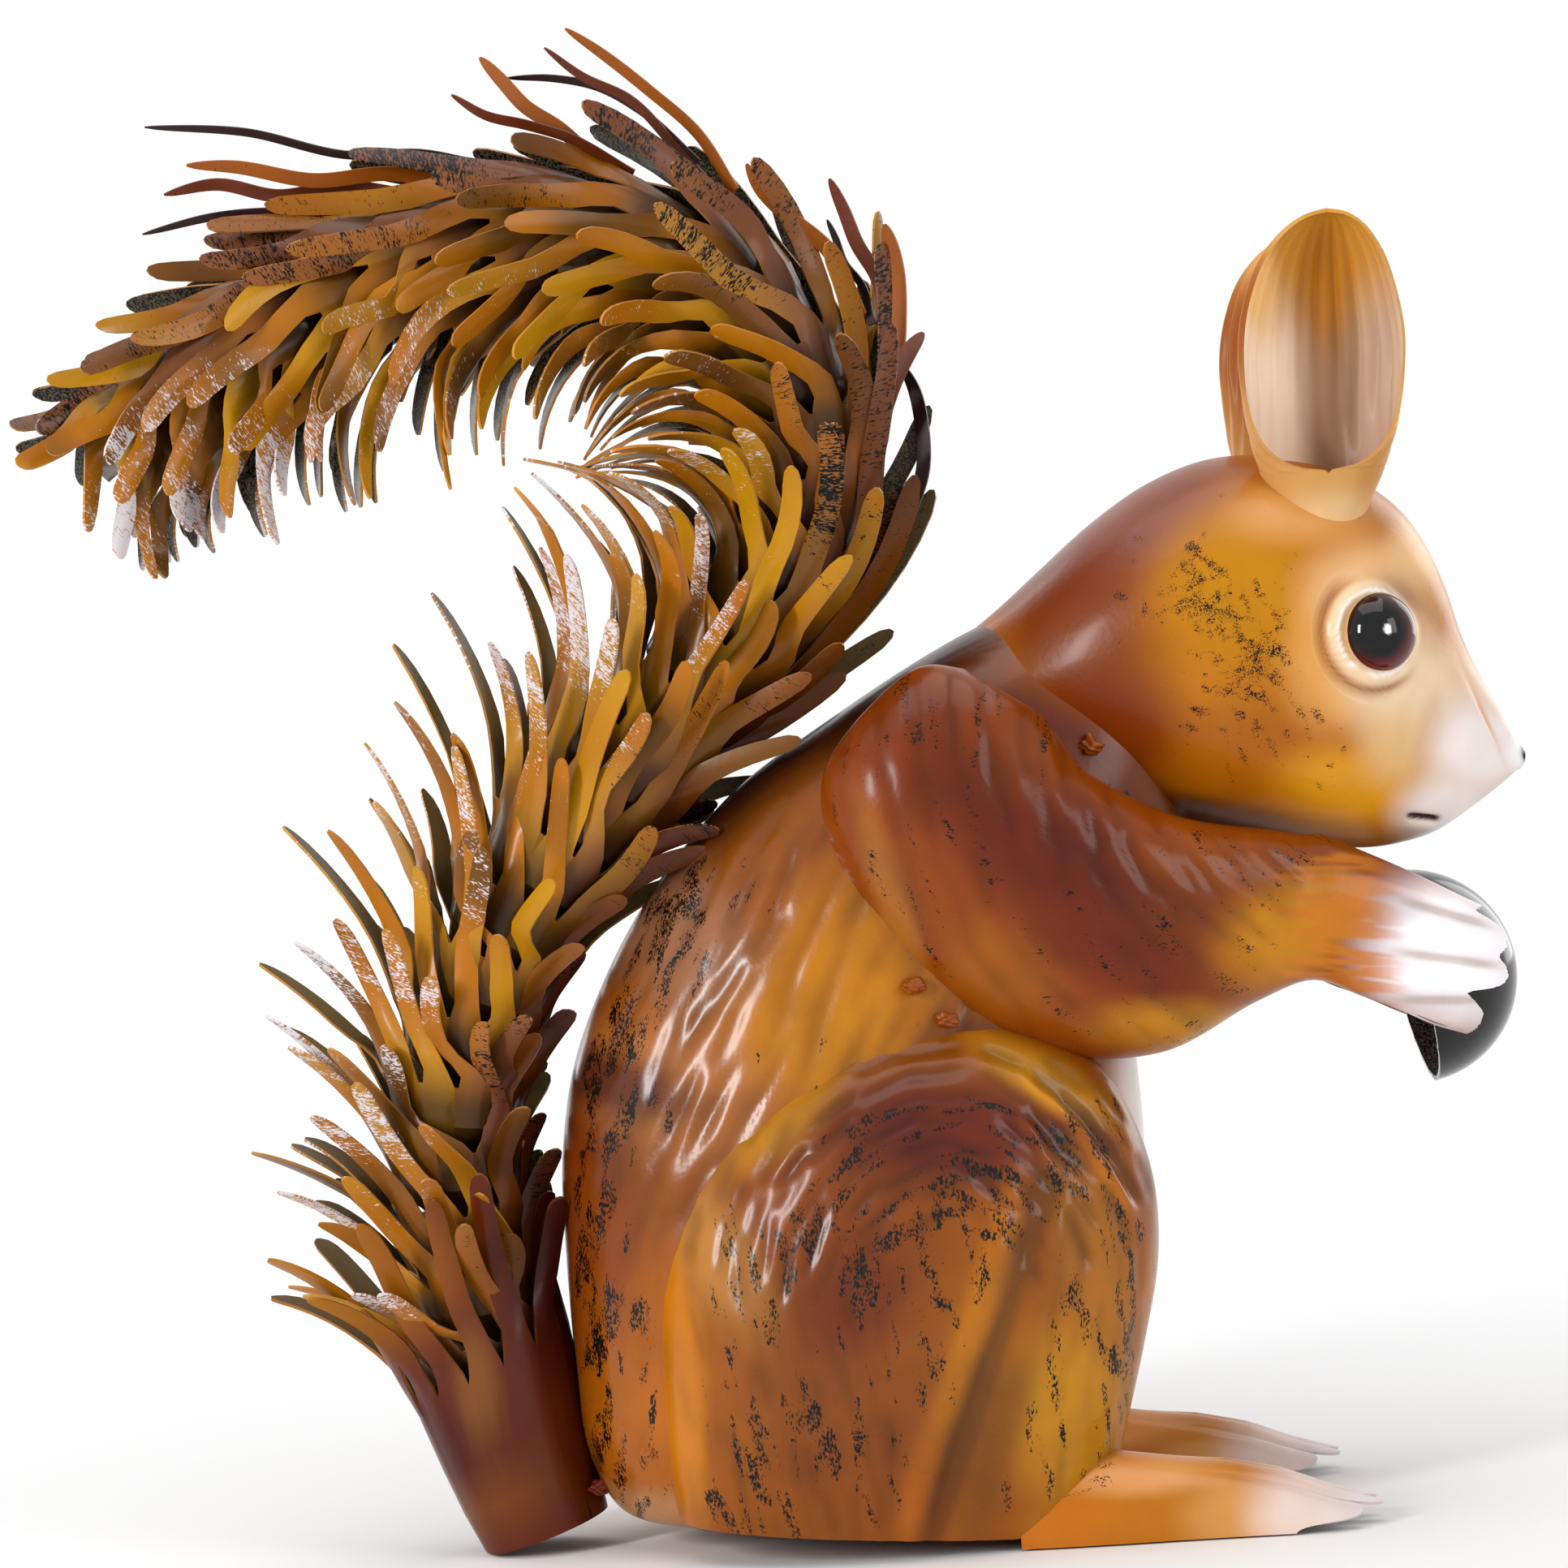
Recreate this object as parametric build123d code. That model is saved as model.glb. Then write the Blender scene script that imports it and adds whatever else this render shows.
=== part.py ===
from build123d import *
import math
import os

# Squirrel ornament of pressed and welded sheet steel.
# Millimetres. X points to the nose, Y to the animal's left, Z up, ground at zero.

# Sheet, fits and overruns
sheet = 0.7
weld_gap = 0.2
eye_gap = 0.15
hub_gap = 0.15
overrun = 40.0
section_points = 16

# Torso: a closed egg, pressed in two halves that meet at the middle plane
torso_height = 176.0
torso_length = 118.0
torso_half_width = 38.5
torso_ground_gap = 2.6
torso_roundness = 2.15
# height, back edge, front edge, half width
torso_shares = [
    (0.000, -0.235, 0.370, 0.600),
    (0.030, -0.352, 0.475, 0.800),
    (0.095, -0.393, 0.505, 0.930),
    (0.190, -0.403, 0.535, 0.985),
    (0.305, -0.407, 0.562, 1.000),
    (0.415, -0.403, 0.568, 0.985),
    (0.520, -0.373, 0.565, 0.945),
    (0.620, -0.308, 0.588, 0.890),
    (0.722, -0.208, 0.660, 0.820),
    (0.812, -0.080, 0.705, 0.735),
    (0.893, 0.105, 0.735, 0.620),
    (0.962, 0.290, 0.705, 0.440),
    (1.000, 0.420, 0.640, 0.200),
]

# Head: an egg along its own axis, which dips towards the nose
head_length = 115.0
head_half_height = 37.6
head_half_width = 33.5
head_x = 95.0
head_z = 165.0
head_dip = 20.0
head_roundness = 2.1
# place along the axis, middle, half height, half width
head_shares = [
    (-0.504, -0.500, 0.100, 0.120),
    (-0.478, -0.490, 0.210, 0.240),
    (-0.435, -0.465, 0.385, 0.430),
    (-0.391, -0.372, 0.520, 0.590),
    (-0.330, -0.226, 0.678, 0.740),
    (-0.261, -0.093, 0.811, 0.860),
    (-0.174, 0.013, 0.918, 0.955),
    (-0.087, 0.050, 0.985, 1.000),
    (0.000, 0.074, 1.000, 1.000),
    (0.087, 0.080, 0.973, 0.970),
    (0.174, 0.048, 0.904, 0.885),
    (0.226, 0.003, 0.824, 0.785),
    (0.278, -0.066, 0.713, 0.655),
    (0.330, -0.141, 0.566, 0.520),
    (0.383, -0.176, 0.420, 0.400),
    (0.430, -0.160, 0.266, 0.280),
    (0.468, -0.128, 0.138, 0.160),
    (0.490, -0.112, 0.053, 0.065),
]

# Eyes: balls seated in round holes
eye_radius = 8.0
eye_x = 114.5
eye_z = 167.9
eye_y = 26.2
eye_forward = 0.9

# Ears: rolled cones with an oval mouth cut in the outer side
ear_height = 64.0
ear_half_width = 15.8
ear_half_depth = 11.5
ear_base_x = 107.5
ear_base_y = 17.0
ear_base_z = 186.0
ear_roundness = 2.0
ear_lean_right = 3.0
ear_lean_left = -4.0
# height, shift to the front, shift outwards, half width, half depth
ear_shares = [
    (0.000, 0.000, 0.000, 0.440, 0.610),
    (0.110, 0.030, 0.000, 0.590, 0.740),
    (0.220, 0.070, 0.045, 0.760, 0.870),
    (0.330, 0.095, 0.090, 0.890, 0.960),
    (0.470, 0.125, 0.175, 0.985, 1.000),
    (0.610, 0.145, 0.260, 1.000, 1.000),
    (0.750, 0.160, 0.350, 0.885, 0.910),
    (0.875, 0.195, 0.390, 0.640, 0.690),
    (0.955, 0.250, 0.430, 0.350, 0.430),
    (1.000, 0.285, 0.430, 0.095, 0.130),
]
# line of the mouth seen from the front: outwards, height
ear_mouth_shares = [
    (1.150, 0.180),
    (0.640, 0.265),
    (0.260, 0.400),
    (0.300, 0.610),
    (0.420, 0.840),
    (0.460, 1.050),
]

# Haunches: dished pressings that wrap on to the torso
haunch_height = 101.0
haunch_length = 98.0
haunch_half_width = 30.0
haunch_middle_y = 20.0
haunch_roundness = 2.25
haunch_rim_z = 4.8
haunch_rim_tilt = 4.5
# height, back edge, front edge, half width
haunch_shares = [
    (0.000, -0.262, 0.525, 0.740),
    (0.075, -0.290, 0.560, 0.850),
    (0.195, -0.311, 0.597, 0.940),
    (0.350, -0.317, 0.643, 0.990),
    (0.505, -0.308, 0.680, 1.000),
    (0.645, -0.268, 0.683, 0.975),
    (0.780, -0.188, 0.648, 0.890),
    (0.885, -0.060, 0.585, 0.730),
    (0.960, 0.075, 0.500, 0.500),
    (1.000, 0.205, 0.400, 0.230),
]

# Arms: pressings along a bent line, closed at the shoulder and open inwards at the hand
arm_length = 120.0
arm_half_width = 31.0
arm_depth = 17.0
arm_x = 20.0
arm_z = 128.0
arm_root_y = 31.0
arm_converge = 0.14
arm_open_x = 74.0
arm_roundness = 2.3
# place of the middle forwards, upwards, direction across forwards, upwards, half width, depth
arm_shares = [
    (0.135, 0.312, 0.90, -0.43, 0.100, 0.280),
    (0.130, 0.272, 0.98, -0.21, 0.330, 0.560),
    (0.108, 0.154, 1.00, -0.02, 0.800, 0.920),
    (0.227, -0.020, 0.940, 0.338, 0.956, 1.030),
    (0.380, -0.122, 0.793, 0.610, 1.000, 1.000),
    (0.542, -0.147, 0.601, 0.798, 0.803, 0.800),
    (0.637, -0.114, 0.443, 0.896, 0.558, 0.640),
    (0.692, -0.108, 0.352, 0.935, 0.448, 0.520),
    (0.797, -0.152, 0.419, 0.908, 0.416, 0.380),
    (0.917, -0.212, 0.328, 0.944, 0.400, 0.300),
    (1.000, -0.245, 0.300, 0.954, 0.380, 0.220),
]
# outline of the four fingers: forwards, upwards
hand_shares = [
    (0.600, 0.100),
    (0.780, 0.060),
    (0.880, -0.020),
    (0.957, -0.086),
    (0.975, -0.108),
    (0.955, -0.120),
    (0.925, -0.132),
    (0.960, -0.138),
    (0.992, -0.152),
    (0.998, -0.172),
    (0.975, -0.190),
    (0.953, -0.205),
    (0.982, -0.214),
    (0.996, -0.232),
    (0.984, -0.254),
    (0.950, -0.262),
    (0.925, -0.262),
    (0.945, -0.285),
    (0.945, -0.303),
    (0.915, -0.322),
    (0.870, -0.330),
    (0.780, -0.285),
    (0.600, -0.240),
]

# Nut: a half ball shell held between the hands
nut_radius = 21.1
nut_x = 121.3
nut_z = 100.6
nut_tilt = 10.7

# Feet: half round pressings, open at the sole, with four toes
foot_length = 78.0
foot_height = 16.0
foot_half_width = 12.5
foot_heel_x = 28.0
foot_middle_y = 30.0
# place forwards, height, half width
foot_shares = [
    (0.000, 0.700, 0.720),
    (0.200, 0.960, 0.840),
    (0.350, 1.000, 0.880),
    (0.490, 0.890, 0.890),
    (0.620, 0.820, 0.920),
    (0.750, 0.650, 0.970),
    (0.870, 0.400, 1.000),
    (1.000, 0.180, 0.980),
]
toe_count = 4
toe_notch_length = 15.0
toe_notch_width = 2.4
toe_reach_shares = [0.930, 0.990, 0.985, 0.915]

# Tail rod: one bent round bar
rod_radius = 2.25
rod_start_x = -55.5
rod_start_z = 3.0
rod_start_heading = 107.3
# bend radius, turn in degrees, to the left when positive
bend_foot = 300.0
bend_lower = 97.0
bend_middle = 380.0
bend_upper = 94.0
bend_curl = 44.0
bend_over = 91.0
bend_tip = 189.0
rod_bends = [
    (bend_foot, -11.7),
    (bend_lower, -44.9),
    (bend_middle, -7.3),
    (bend_upper, 14.0),
    (bend_curl, 115.7),
    (bend_over, 27.0),
    (bend_tip, 20.0),
]

# Tail base sleeve: a cone round the foot of the rod, slit into fingers at its top
sleeve_foot_radius = 12.2
sleeve_top_radius = 15.7
sleeve_wall = 1.0
sleeve_height = 33.0
sleeve_finger_length = 30.0
sleeve_tip_free = 40.0
sleeve_tip_side = 25.0
sleeve_tip_body = 17.0
plate_thickness = 1.5
plate_place = 7.0

# Tail collars: cups threaded on the rod, each slit into fingers
collar_count = 30
collar_first = 25.0
collar_pitch = 12.4
collar_depth = 8.0
collar_radius = 11.8
collar_wall = 1.2
finger_sheet = 0.5
finger_sink = 1.2
finger_count = 10
finger_width = 5.2
finger_wave = 1.1
finger_length = 30.0
finger_reach = 34.0
finger_bow = 1.25
finger_stray_share = 0.12
finger_seat_share = 0.8
# angles in radians that give each finger its own length and sway
finger_stray_step = 5.3
ring_stray_step = 11.7
finger_phase_step = 2.4
# place on the rod, finger length, reach on the free side, at the sides and towards the body
collar_shares = [
    (0.060, 0.87, 1.00, 0.68, 0.460),
    (0.200, 1.05, 1.20, 0.74, 0.530),
    (0.320, 1.30, 1.38, 0.82, 0.660),
    (0.440, 1.40, 1.42, 0.88, 0.760),
    (0.530, 1.20, 1.17, 0.88, 0.800),
    (0.640, 1.20, 1.10, 0.85, 0.800),
    (0.740, 1.30, 1.10, 0.83, 0.770),
    (0.840, 1.15, 1.05, 0.80, 0.680),
    (0.930, 0.82, 0.74, 0.62, 0.520),
    (1.000, 0.36, 0.44, 0.44, 0.420),
]
# long thin strands that stand off the curl: collar, degrees round the rod, length, reach
strand_shares = [
    (13, 162, 1.60, 0.92),
    (14, 180, 1.70, 0.97),
    (16, 180, 1.85, 1.24),
    (17, 198, 1.85, 1.33),
    (19, 162, 1.60, 1.20),
    (21, 198, 2.25, 1.48),
]
strand_width = 2.4
strand_bow = 2.0
# place along a finger, width
finger_shares = [(0.00, 1.00), (0.30, 0.90), (0.60, 0.84), (0.85, 0.68), (1.00, 0.30)]

# Weld beads: nuggets left where the arm meets the torso and the head, and where the sleeve meets the torso
bead_radius = 2.4
bead_sink = 0.5
# forwards and upwards, as shares of the arm's length from the arm's own place
bead_shares = [(0.022, -0.176), (0.072, -0.234), (0.333, 0.180)]
tail_bead_height = 12.0
tail_bead_share = 0.62


def oval(middle, across, up, half_across, half_up, roundness):
    """A closed smooth section, rounder or squarer with its exponent."""
    points = []
    for step in range(section_points):
        angle = 2 * math.pi * step / section_points
        c = math.cos(angle)
        s = math.sin(angle)
        out = math.copysign(abs(c) ** (2 / roundness), c) * half_across
        rise = math.copysign(abs(s) ** (2 / roundness), s) * half_up
        points.append(middle + across * out + up * rise)
    return Wire([Edge.make_spline(points, periodic=True)])


def stretch(place, low, high, grow):
    """Moves a station so that the two ends of a form grow with its sides."""
    half = (high - low) / 2
    middle = (high + low) / 2
    return middle + (place - middle) * (half + grow) / half


def shell(form):
    """The pressed sheet of a form that is given as a function of its growth."""
    return form(0) - form(-sheet)


def torso(grow):
    sections = []
    low = torso_ground_gap
    high = torso_ground_gap + torso_height
    for height, back, front, half in torso_shares:
        x = (back + front) / 2 * torso_length
        z = stretch(low + height * torso_height, low, high, grow)
        half_x = (front - back) / 2 * torso_length + grow
        half_y = half * torso_half_width + grow
        sections.append(oval(Vector(x, 0, z), Vector(1, 0, 0), Vector(0, 1, 0), half_x, half_y, torso_roundness))
    return Solid.make_loft(sections)


head_forward = Vector(math.cos(math.radians(head_dip)), 0, -math.sin(math.radians(head_dip)))
head_up = Vector(math.sin(math.radians(head_dip)), 0, math.cos(math.radians(head_dip)))
head_middle = Vector(head_x, 0, head_z)


def head(grow):
    sections = []
    low = head_shares[0][0] * head_length
    high = head_shares[-1][0] * head_length
    for along, rise, half, wide in head_shares:
        place = stretch(along * head_length, low, high, grow)
        middle = head_middle + head_forward * place + head_up * (rise * head_half_height)
        half_up = half * head_half_height + grow
        half_y = wide * head_half_width + grow
        sections.append(oval(middle, Vector(0, 1, 0), head_up, half_y, half_up, head_roundness))
    return Solid.make_loft(sections)


def haunch(grow):
    sections = []
    for height, back, front, half in haunch_shares:
        x = (back + front) / 2 * haunch_length
        z = stretch(height * haunch_height, 0, haunch_height, grow)
        half_x = (front - back) / 2 * haunch_length + grow
        half_y = half * haunch_half_width + grow
        middle = Vector(x, -haunch_middle_y, z)
        sections.append(oval(middle, Vector(1, 0, 0), Vector(0, 1, 0), half_x, half_y, haunch_roundness))
    return Solid.make_loft(sections)


def arm_y(x):
    """How far out the open edge of the arm lies: the arms converge on the nut."""
    return arm_root_y - arm_converge * (x - arm_x)


def arm(grow):
    sections = []
    last = len(arm_shares) - 1
    for number, (forward, rise, lean_x, lean_z, half, depth) in enumerate(arm_shares):
        x = arm_x + forward * arm_length
        z = arm_z + rise * arm_length
        along = Vector(-lean_z, 0, lean_x)
        shift = grow if number == 0 else -grow if number == last else 0
        middle = Vector(x, -arm_y(x), z) + along * shift
        half_across = half * arm_half_width + grow
        half_out = depth * arm_depth + grow
        sections.append(oval(middle, Vector(lean_x, 0, lean_z), Vector(0, 1, 0), half_across, half_out, arm_roundness))
    return Solid.make_loft(sections)


def foot(grow):
    sections = []
    for forward, height, half in foot_shares:
        x = stretch(foot_heel_x + forward * foot_length, foot_heel_x, foot_heel_x + foot_length, grow)
        middle = Vector(x, -foot_middle_y, 0)
        half_y = half * foot_half_width + grow
        half_z = height * foot_height + grow
        sections.append(oval(middle, Vector(0, 1, 0), Vector(0, 0, 1), half_y, half_z, 2))
    return Solid.make_loft(sections)


def ear(grow):
    sections = []
    for height, forward, outward, half, depth in ear_shares:
        x = ear_base_x + forward * ear_half_width
        y = -ear_base_y - outward * ear_half_depth
        z = stretch(ear_base_z + height * ear_height, ear_base_z, ear_base_z + ear_height, grow)
        half_x = max(half * ear_half_width + grow, sheet)
        half_y = max(depth * ear_half_depth + grow, sheet)
        sections.append(oval(Vector(x, y, z), Vector(1, 0, 0), Vector(0, 1, 0), half_x, half_y, ear_roundness))
    return Solid.make_loft(sections)


def side_prism(points, low_y, high_y):
    """A flat outline in the side view, as thick as the two places across."""
    outline = Wire.make_polygon([Vector(x, low_y, z) for x, z in points], close=True)
    return Solid.extrude(Face(outline), Vector(0, high_y - low_y, 0))


def mirrored(piece):
    return piece.mirror(Plane.XZ)


def halves(piece):
    """Splits a form at the middle plane into its right and left pressings."""
    right = split(piece, bisect_by=Plane.XZ, keep=Keep.TOP)
    left = split(piece, bisect_by=Plane.XZ, keep=Keep.BOTTOM)
    return right, left


torso_form = torso(0)
torso_keepout = torso(weld_gap)
head_form = head(0)
head_keepout = head(weld_gap)
haunch_keepout = haunch(weld_gap)

# Torso
torso_right, torso_left = halves(shell(torso))

# Eyes and head
eye_place = Location((eye_x + eye_forward, -eye_y, eye_z))
eye_right = eye_place * Solid.make_sphere(eye_radius, angle1=-90, angle2=90)
eye_socket = eye_place * Solid.make_sphere(eye_radius + eye_gap, angle1=-90, angle2=90)
head_shell = shell(head) - torso_keepout - eye_socket - mirrored(eye_socket)
head_right, head_left = halves(head_shell)


# Ears
def ear_piece(lean):
    """One ear, leaning outwards about its foot, cut to its mouth and to the head."""
    mouth = [Vector(0, -ear_base_y - out * ear_half_depth, ear_base_z + up * ear_height) for out, up in ear_mouth_shares]
    edge = Edge.make_spline(mouth)
    near_y = -ear_base_y - overrun
    bottom = Edge.make_line(Vector(0, near_y, mouth[0].Z), mouth[0])
    outer = Edge.make_line(Vector(0, near_y, mouth[-1].Z), Vector(0, near_y, mouth[0].Z))
    top = Edge.make_line(mouth[-1], Vector(0, near_y, mouth[-1].Z))
    profile = Face(Wire([bottom, edge, top, outer]))
    cutter = Solid.extrude(profile, Vector(2 * ear_base_x, 0, 0))
    piece = shell(ear) - cutter
    foot_point = Vector(ear_base_x, -ear_base_y, ear_base_z)
    turn = Axis(foot_point, Vector(1, 0, 0))
    return piece.rotate(turn, lean) - head_keepout


ear_right = ear_piece(ear_lean_right)
ear_left = mirrored(ear_piece(ear_lean_left))

# Haunches
rim_cut = Solid.make_box(2 * haunch_height, 2 * haunch_height, overrun)
rim_cut = Location((-haunch_height, -haunch_height, -overrun)) * rim_cut
rim_cut = Location((0, 0, haunch_rim_z), (0, haunch_rim_tilt, 0)) * rim_cut
haunch_right = shell(haunch) - torso_keepout - rim_cut
haunch_right = split(haunch_right, bisect_by=Plane.XZ, keep=Keep.TOP)
haunch_right = max(haunch_right.solids(), key=lambda solid: solid.volume)
haunch_left = mirrored(haunch_right)

# Nut
nut_middle = Vector(nut_x, 0, nut_z)
nut_axis = Vector(math.cos(math.radians(nut_tilt)), 0, math.sin(math.radians(nut_tilt)))
nut_ball = Solid.make_sphere(nut_radius, angle1=-90, angle2=90)
nut_hollow = Solid.make_sphere(nut_radius - sheet, angle1=-90, angle2=90)
nut_shell = Location(nut_middle) * (nut_ball - nut_hollow)
nut_shell = split(nut_shell, bisect_by=Plane(origin=nut_middle, z_dir=nut_axis), keep=Keep.TOP)
nut_keepout = Location(nut_middle) * Solid.make_sphere(nut_radius + weld_gap, angle1=-90, angle2=90)

# Arms
arm_form = shell(arm) - torso_keepout - head_keepout - haunch_keepout - nut_keepout
open_start = Vector(arm_open_x, -arm_y(arm_open_x), 0)
open_end = Vector(arm_x + 2 * arm_length, -arm_y(arm_x + 2 * arm_length), 0)
open_outline = [open_start, open_end, open_end + Vector(0, arm_length, 0), open_start + Vector(0, arm_length, 0)]
open_cut = Solid.extrude(Face(Wire.make_polygon(open_outline, close=True)), Vector(0, 0, 2 * arm_z))
arm_form = arm_form - open_cut
hand_outline = [(arm_x + forward * arm_length, arm_z + rise * arm_length) for forward, rise in hand_shares]
wrist_x = hand_outline[0][0]
hand_edge = Wire([Edge.make_spline([Vector(x, -arm_length, z) for x, z in hand_outline])])
hand_back = Edge.make_line(hand_edge.end_point(), hand_edge.start_point())
hand_prism = Solid.extrude(Face(Wire([*hand_edge.edges(), hand_back])), Vector(0, 2 * arm_length, 0))
reach_box = side_prism(
    [(wrist_x, 0), (arm_x + 2 * arm_length, 0), (arm_x + 2 * arm_length, 2 * arm_z), (wrist_x, 2 * arm_z)],
    -arm_length,
    arm_length,
)
arm_form = arm_form - (reach_box - hand_prism)
arm_right = max(arm_form.solids(), key=lambda solid: solid.volume)
arm_left = mirrored(arm_right)

# Feet
foot_form = shell(foot) - haunch_keepout - torso_keepout
sole_cut = Solid.make_box(2 * foot_length, 2 * foot_length, overrun)
sole_cut = Location((0, -foot_middle_y - foot_length, -overrun)) * sole_cut
foot_form = foot_form - sole_cut
toe_width = 2 * foot_half_width / toe_count
toe_tip_x = foot_heel_x + foot_length
for toe in range(toe_count):
    toe_y = -foot_middle_y - foot_half_width + (toe + 0.5) * toe_width
    cap_x = foot_heel_x + toe_reach_shares[toe] * foot_length
    cap = Solid.make_box(foot_length, toe_width, foot_height)
    foot_form = foot_form - Location((cap_x, toe_y - toe_width / 2, 0)) * cap
for notch in range(1, toe_count):
    notch_y = -foot_middle_y - foot_half_width + notch * toe_width
    root = Vector(toe_tip_x - toe_notch_length, notch_y, 0)
    left_lip = Vector(toe_tip_x + overrun, notch_y + toe_notch_width, 0)
    right_lip = Vector(toe_tip_x + overrun, notch_y - toe_notch_width, 0)
    wedge = Solid.extrude(Face(Wire.make_polygon([root, left_lip, right_lip], close=True)), Vector(0, 0, foot_height))
    foot_form = foot_form - wedge
foot_right = max(foot_form.solids(), key=lambda solid: solid.volume)
foot_left = mirrored(foot_right)

# Tail rod
rod_edges = []
rod_spans = []
heading = math.radians(rod_start_heading)
place = Vector(rod_start_x, 0, rod_start_z)
reached = 0.0
for radius, degrees in rod_bends:
    turn = math.radians(degrees)
    side = math.copysign(1, turn)
    centre = place + Vector(-math.sin(heading), 0, math.cos(heading)) * (radius * side)
    rod_spans.append((reached, place, heading, radius, turn))
    middle_heading = heading + turn / 2
    end_heading = heading + turn
    arc_middle = centre - Vector(-math.sin(middle_heading), 0, math.cos(middle_heading)) * (radius * side)
    arc_end = centre - Vector(-math.sin(end_heading), 0, math.cos(end_heading)) * (radius * side)
    rod_edges.append(Edge.make_three_point_arc(place, arc_middle, arc_end))
    reached = reached + radius * abs(turn)
    place = arc_end
    heading = end_heading
rod_length = reached
rod_path = Wire(rod_edges)
rod_plane = Plane(origin=rod_path @ 0, z_dir=rod_path % 0)
tail_rod = Solid.sweep(Face(Wire.make_circle(rod_radius, rod_plane)), rod_path)


def rod_at(distance):
    """Middle of the rod and its heading at a distance along it, straight on past its ends."""
    start, point, angle, radius, turn = rod_spans[0]
    for span in rod_spans:
        if distance >= span[0]:
            start, point, angle, radius, turn = span
    part = distance - start
    limit = radius * abs(turn)
    along = min(max(part, 0), limit)
    side = math.copysign(1, turn)
    now = angle + side * along / radius
    centre = point + Vector(-math.sin(angle), 0, math.cos(angle)) * (radius * side)
    middle = centre - Vector(-math.sin(now), 0, math.cos(now)) * (radius * side)
    return middle + Vector(math.cos(now), 0, math.sin(now)) * (part - along), now


def tail_point(distance, angle, reach):
    """A point by its distance along the rod, its angle round it from the free side, and its reach."""
    middle, now = rod_at(distance)
    free = Vector(-math.sin(now), 0, math.cos(now))
    return middle + (free * math.cos(angle) + Vector(0, -1, 0) * math.sin(angle)) * reach


def tail_ring(distance, reach):
    middle, now = rod_at(distance)
    return Wire.make_circle(reach, Plane(origin=middle, z_dir=Vector(math.cos(now), 0, math.sin(now))))


def tail_cone(start, end, start_radius, end_radius):
    return Solid.make_loft([tail_ring(start, start_radius), tail_ring(end, end_radius)], ruled=True)


def between(low, high, part):
    return low + (high - low) * part


def reach_round(angle, free, side, body):
    """Reach of a fringe's tips round the rod: free side, flanks and the side next to the body."""
    turn = math.cos(angle)
    return side + (free - side) * turn * turn if turn > 0 else side + (body - side) * turn * turn


def finger(root, slope, length, angle, root_reach, tip_reach, phase, width=finger_width, bow=finger_bow):
    """One bowed and waved finger of sheet: thin sections from inside its cone's wall to its tip."""
    sections = []
    stations = [(root - finger_sink, root_reach - slope * finger_sink, 0, width / 2)]
    for along, wide in finger_shares:
        reach = root_reach + (tip_reach - root_reach) * along**bow
        sway = finger_wave * math.sin(phase + math.tau * along) * along
        stations.append((root + along * length, reach, sway, wide * width / 2))
    for distance, reach, sway, half in stations:
        corners = []
        for step, lift in ((-half, 0), (half, 0), (half, finger_sheet), (-half, finger_sheet)):
            corners.append(tail_point(distance, angle + (step + sway) / reach, reach + lift))
        sections.append(Wire.make_polygon(corners, close=True))
    return Solid.make_loft(sections, ruled=True)


def fringe(base, root, slope, length, root_reach, tips, offset):
    """Joins a ring of fingers to the cone that carries them."""
    fingers = []
    for number in range(finger_count):
        angle = math.tau * (number + offset) / finger_count
        stray = math.sin(finger_stray_step * number + ring_stray_step * offset)
        tip = reach_round(angle, *tips)
        long = length * (1 + finger_stray_share * stray)
        fingers.append(finger(root, slope, long, angle, root_reach, tip, finger_phase_step * stray))
    return base.fuse(*fingers)


# Tail base sleeve
sleeve = tail_cone(0, sleeve_height, sleeve_foot_radius + sleeve_wall, sleeve_top_radius + sleeve_wall)
sleeve = sleeve - tail_cone(0, sleeve_height, sleeve_foot_radius, sleeve_top_radius)
sleeve_tips = (sleeve_tip_free, sleeve_tip_side, sleeve_tip_body)
sleeve_taper = (sleeve_top_radius - sleeve_foot_radius) / sleeve_height
sleeve_root_reach = sleeve_top_radius + (sleeve_wall - finger_sheet) * finger_seat_share
tail_base_sleeve = fringe(
    sleeve, sleeve_height, sleeve_taper, sleeve_finger_length, sleeve_root_reach, sleeve_tips, 0.5
)
ground_cut = Solid.make_box(2 * torso_length, 2 * torso_length, overrun)
ground_cut = Location((-torso_length - overrun, -torso_length, -overrun)) * ground_cut
tail_base_sleeve = tail_base_sleeve - ground_cut - torso_keepout
tail_rod = tail_rod - ground_cut

# Base plate: the disc inside the sleeve that the rod is welded through
plate_end = plate_place + plate_thickness
plate_edge = sleeve_foot_radius + sleeve_taper * plate_place - weld_gap
tail_base_plate = tail_cone(plate_place, plate_end, plate_edge, plate_edge + sleeve_taper * plate_thickness)
tail_base_plate = tail_base_plate - tail_cone(0, sleeve_height, rod_radius + weld_gap, rod_radius + weld_gap)


# Weld beads
arm_keepout = arm(weld_gap)


def outermost(x, z):
    """The outermost point of torso and head on the right side, at a place in the side view."""
    line = Edge.make_line(Vector(x, -overrun - torso_half_width, z), Vector(x, 0, z))
    hits = [line & form for form in (torso_form, head_form)]
    corners = [corner for hit in hits if hit for corner in hit.vertices()]
    return min(corners, key=lambda corner: corner.Y)


def bead(point):
    ball = Location(point) * Solid.make_sphere(bead_radius, angle1=-90, angle2=90)
    return ball - torso_keepout - head_keepout - haunch_keepout - arm_keepout


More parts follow.
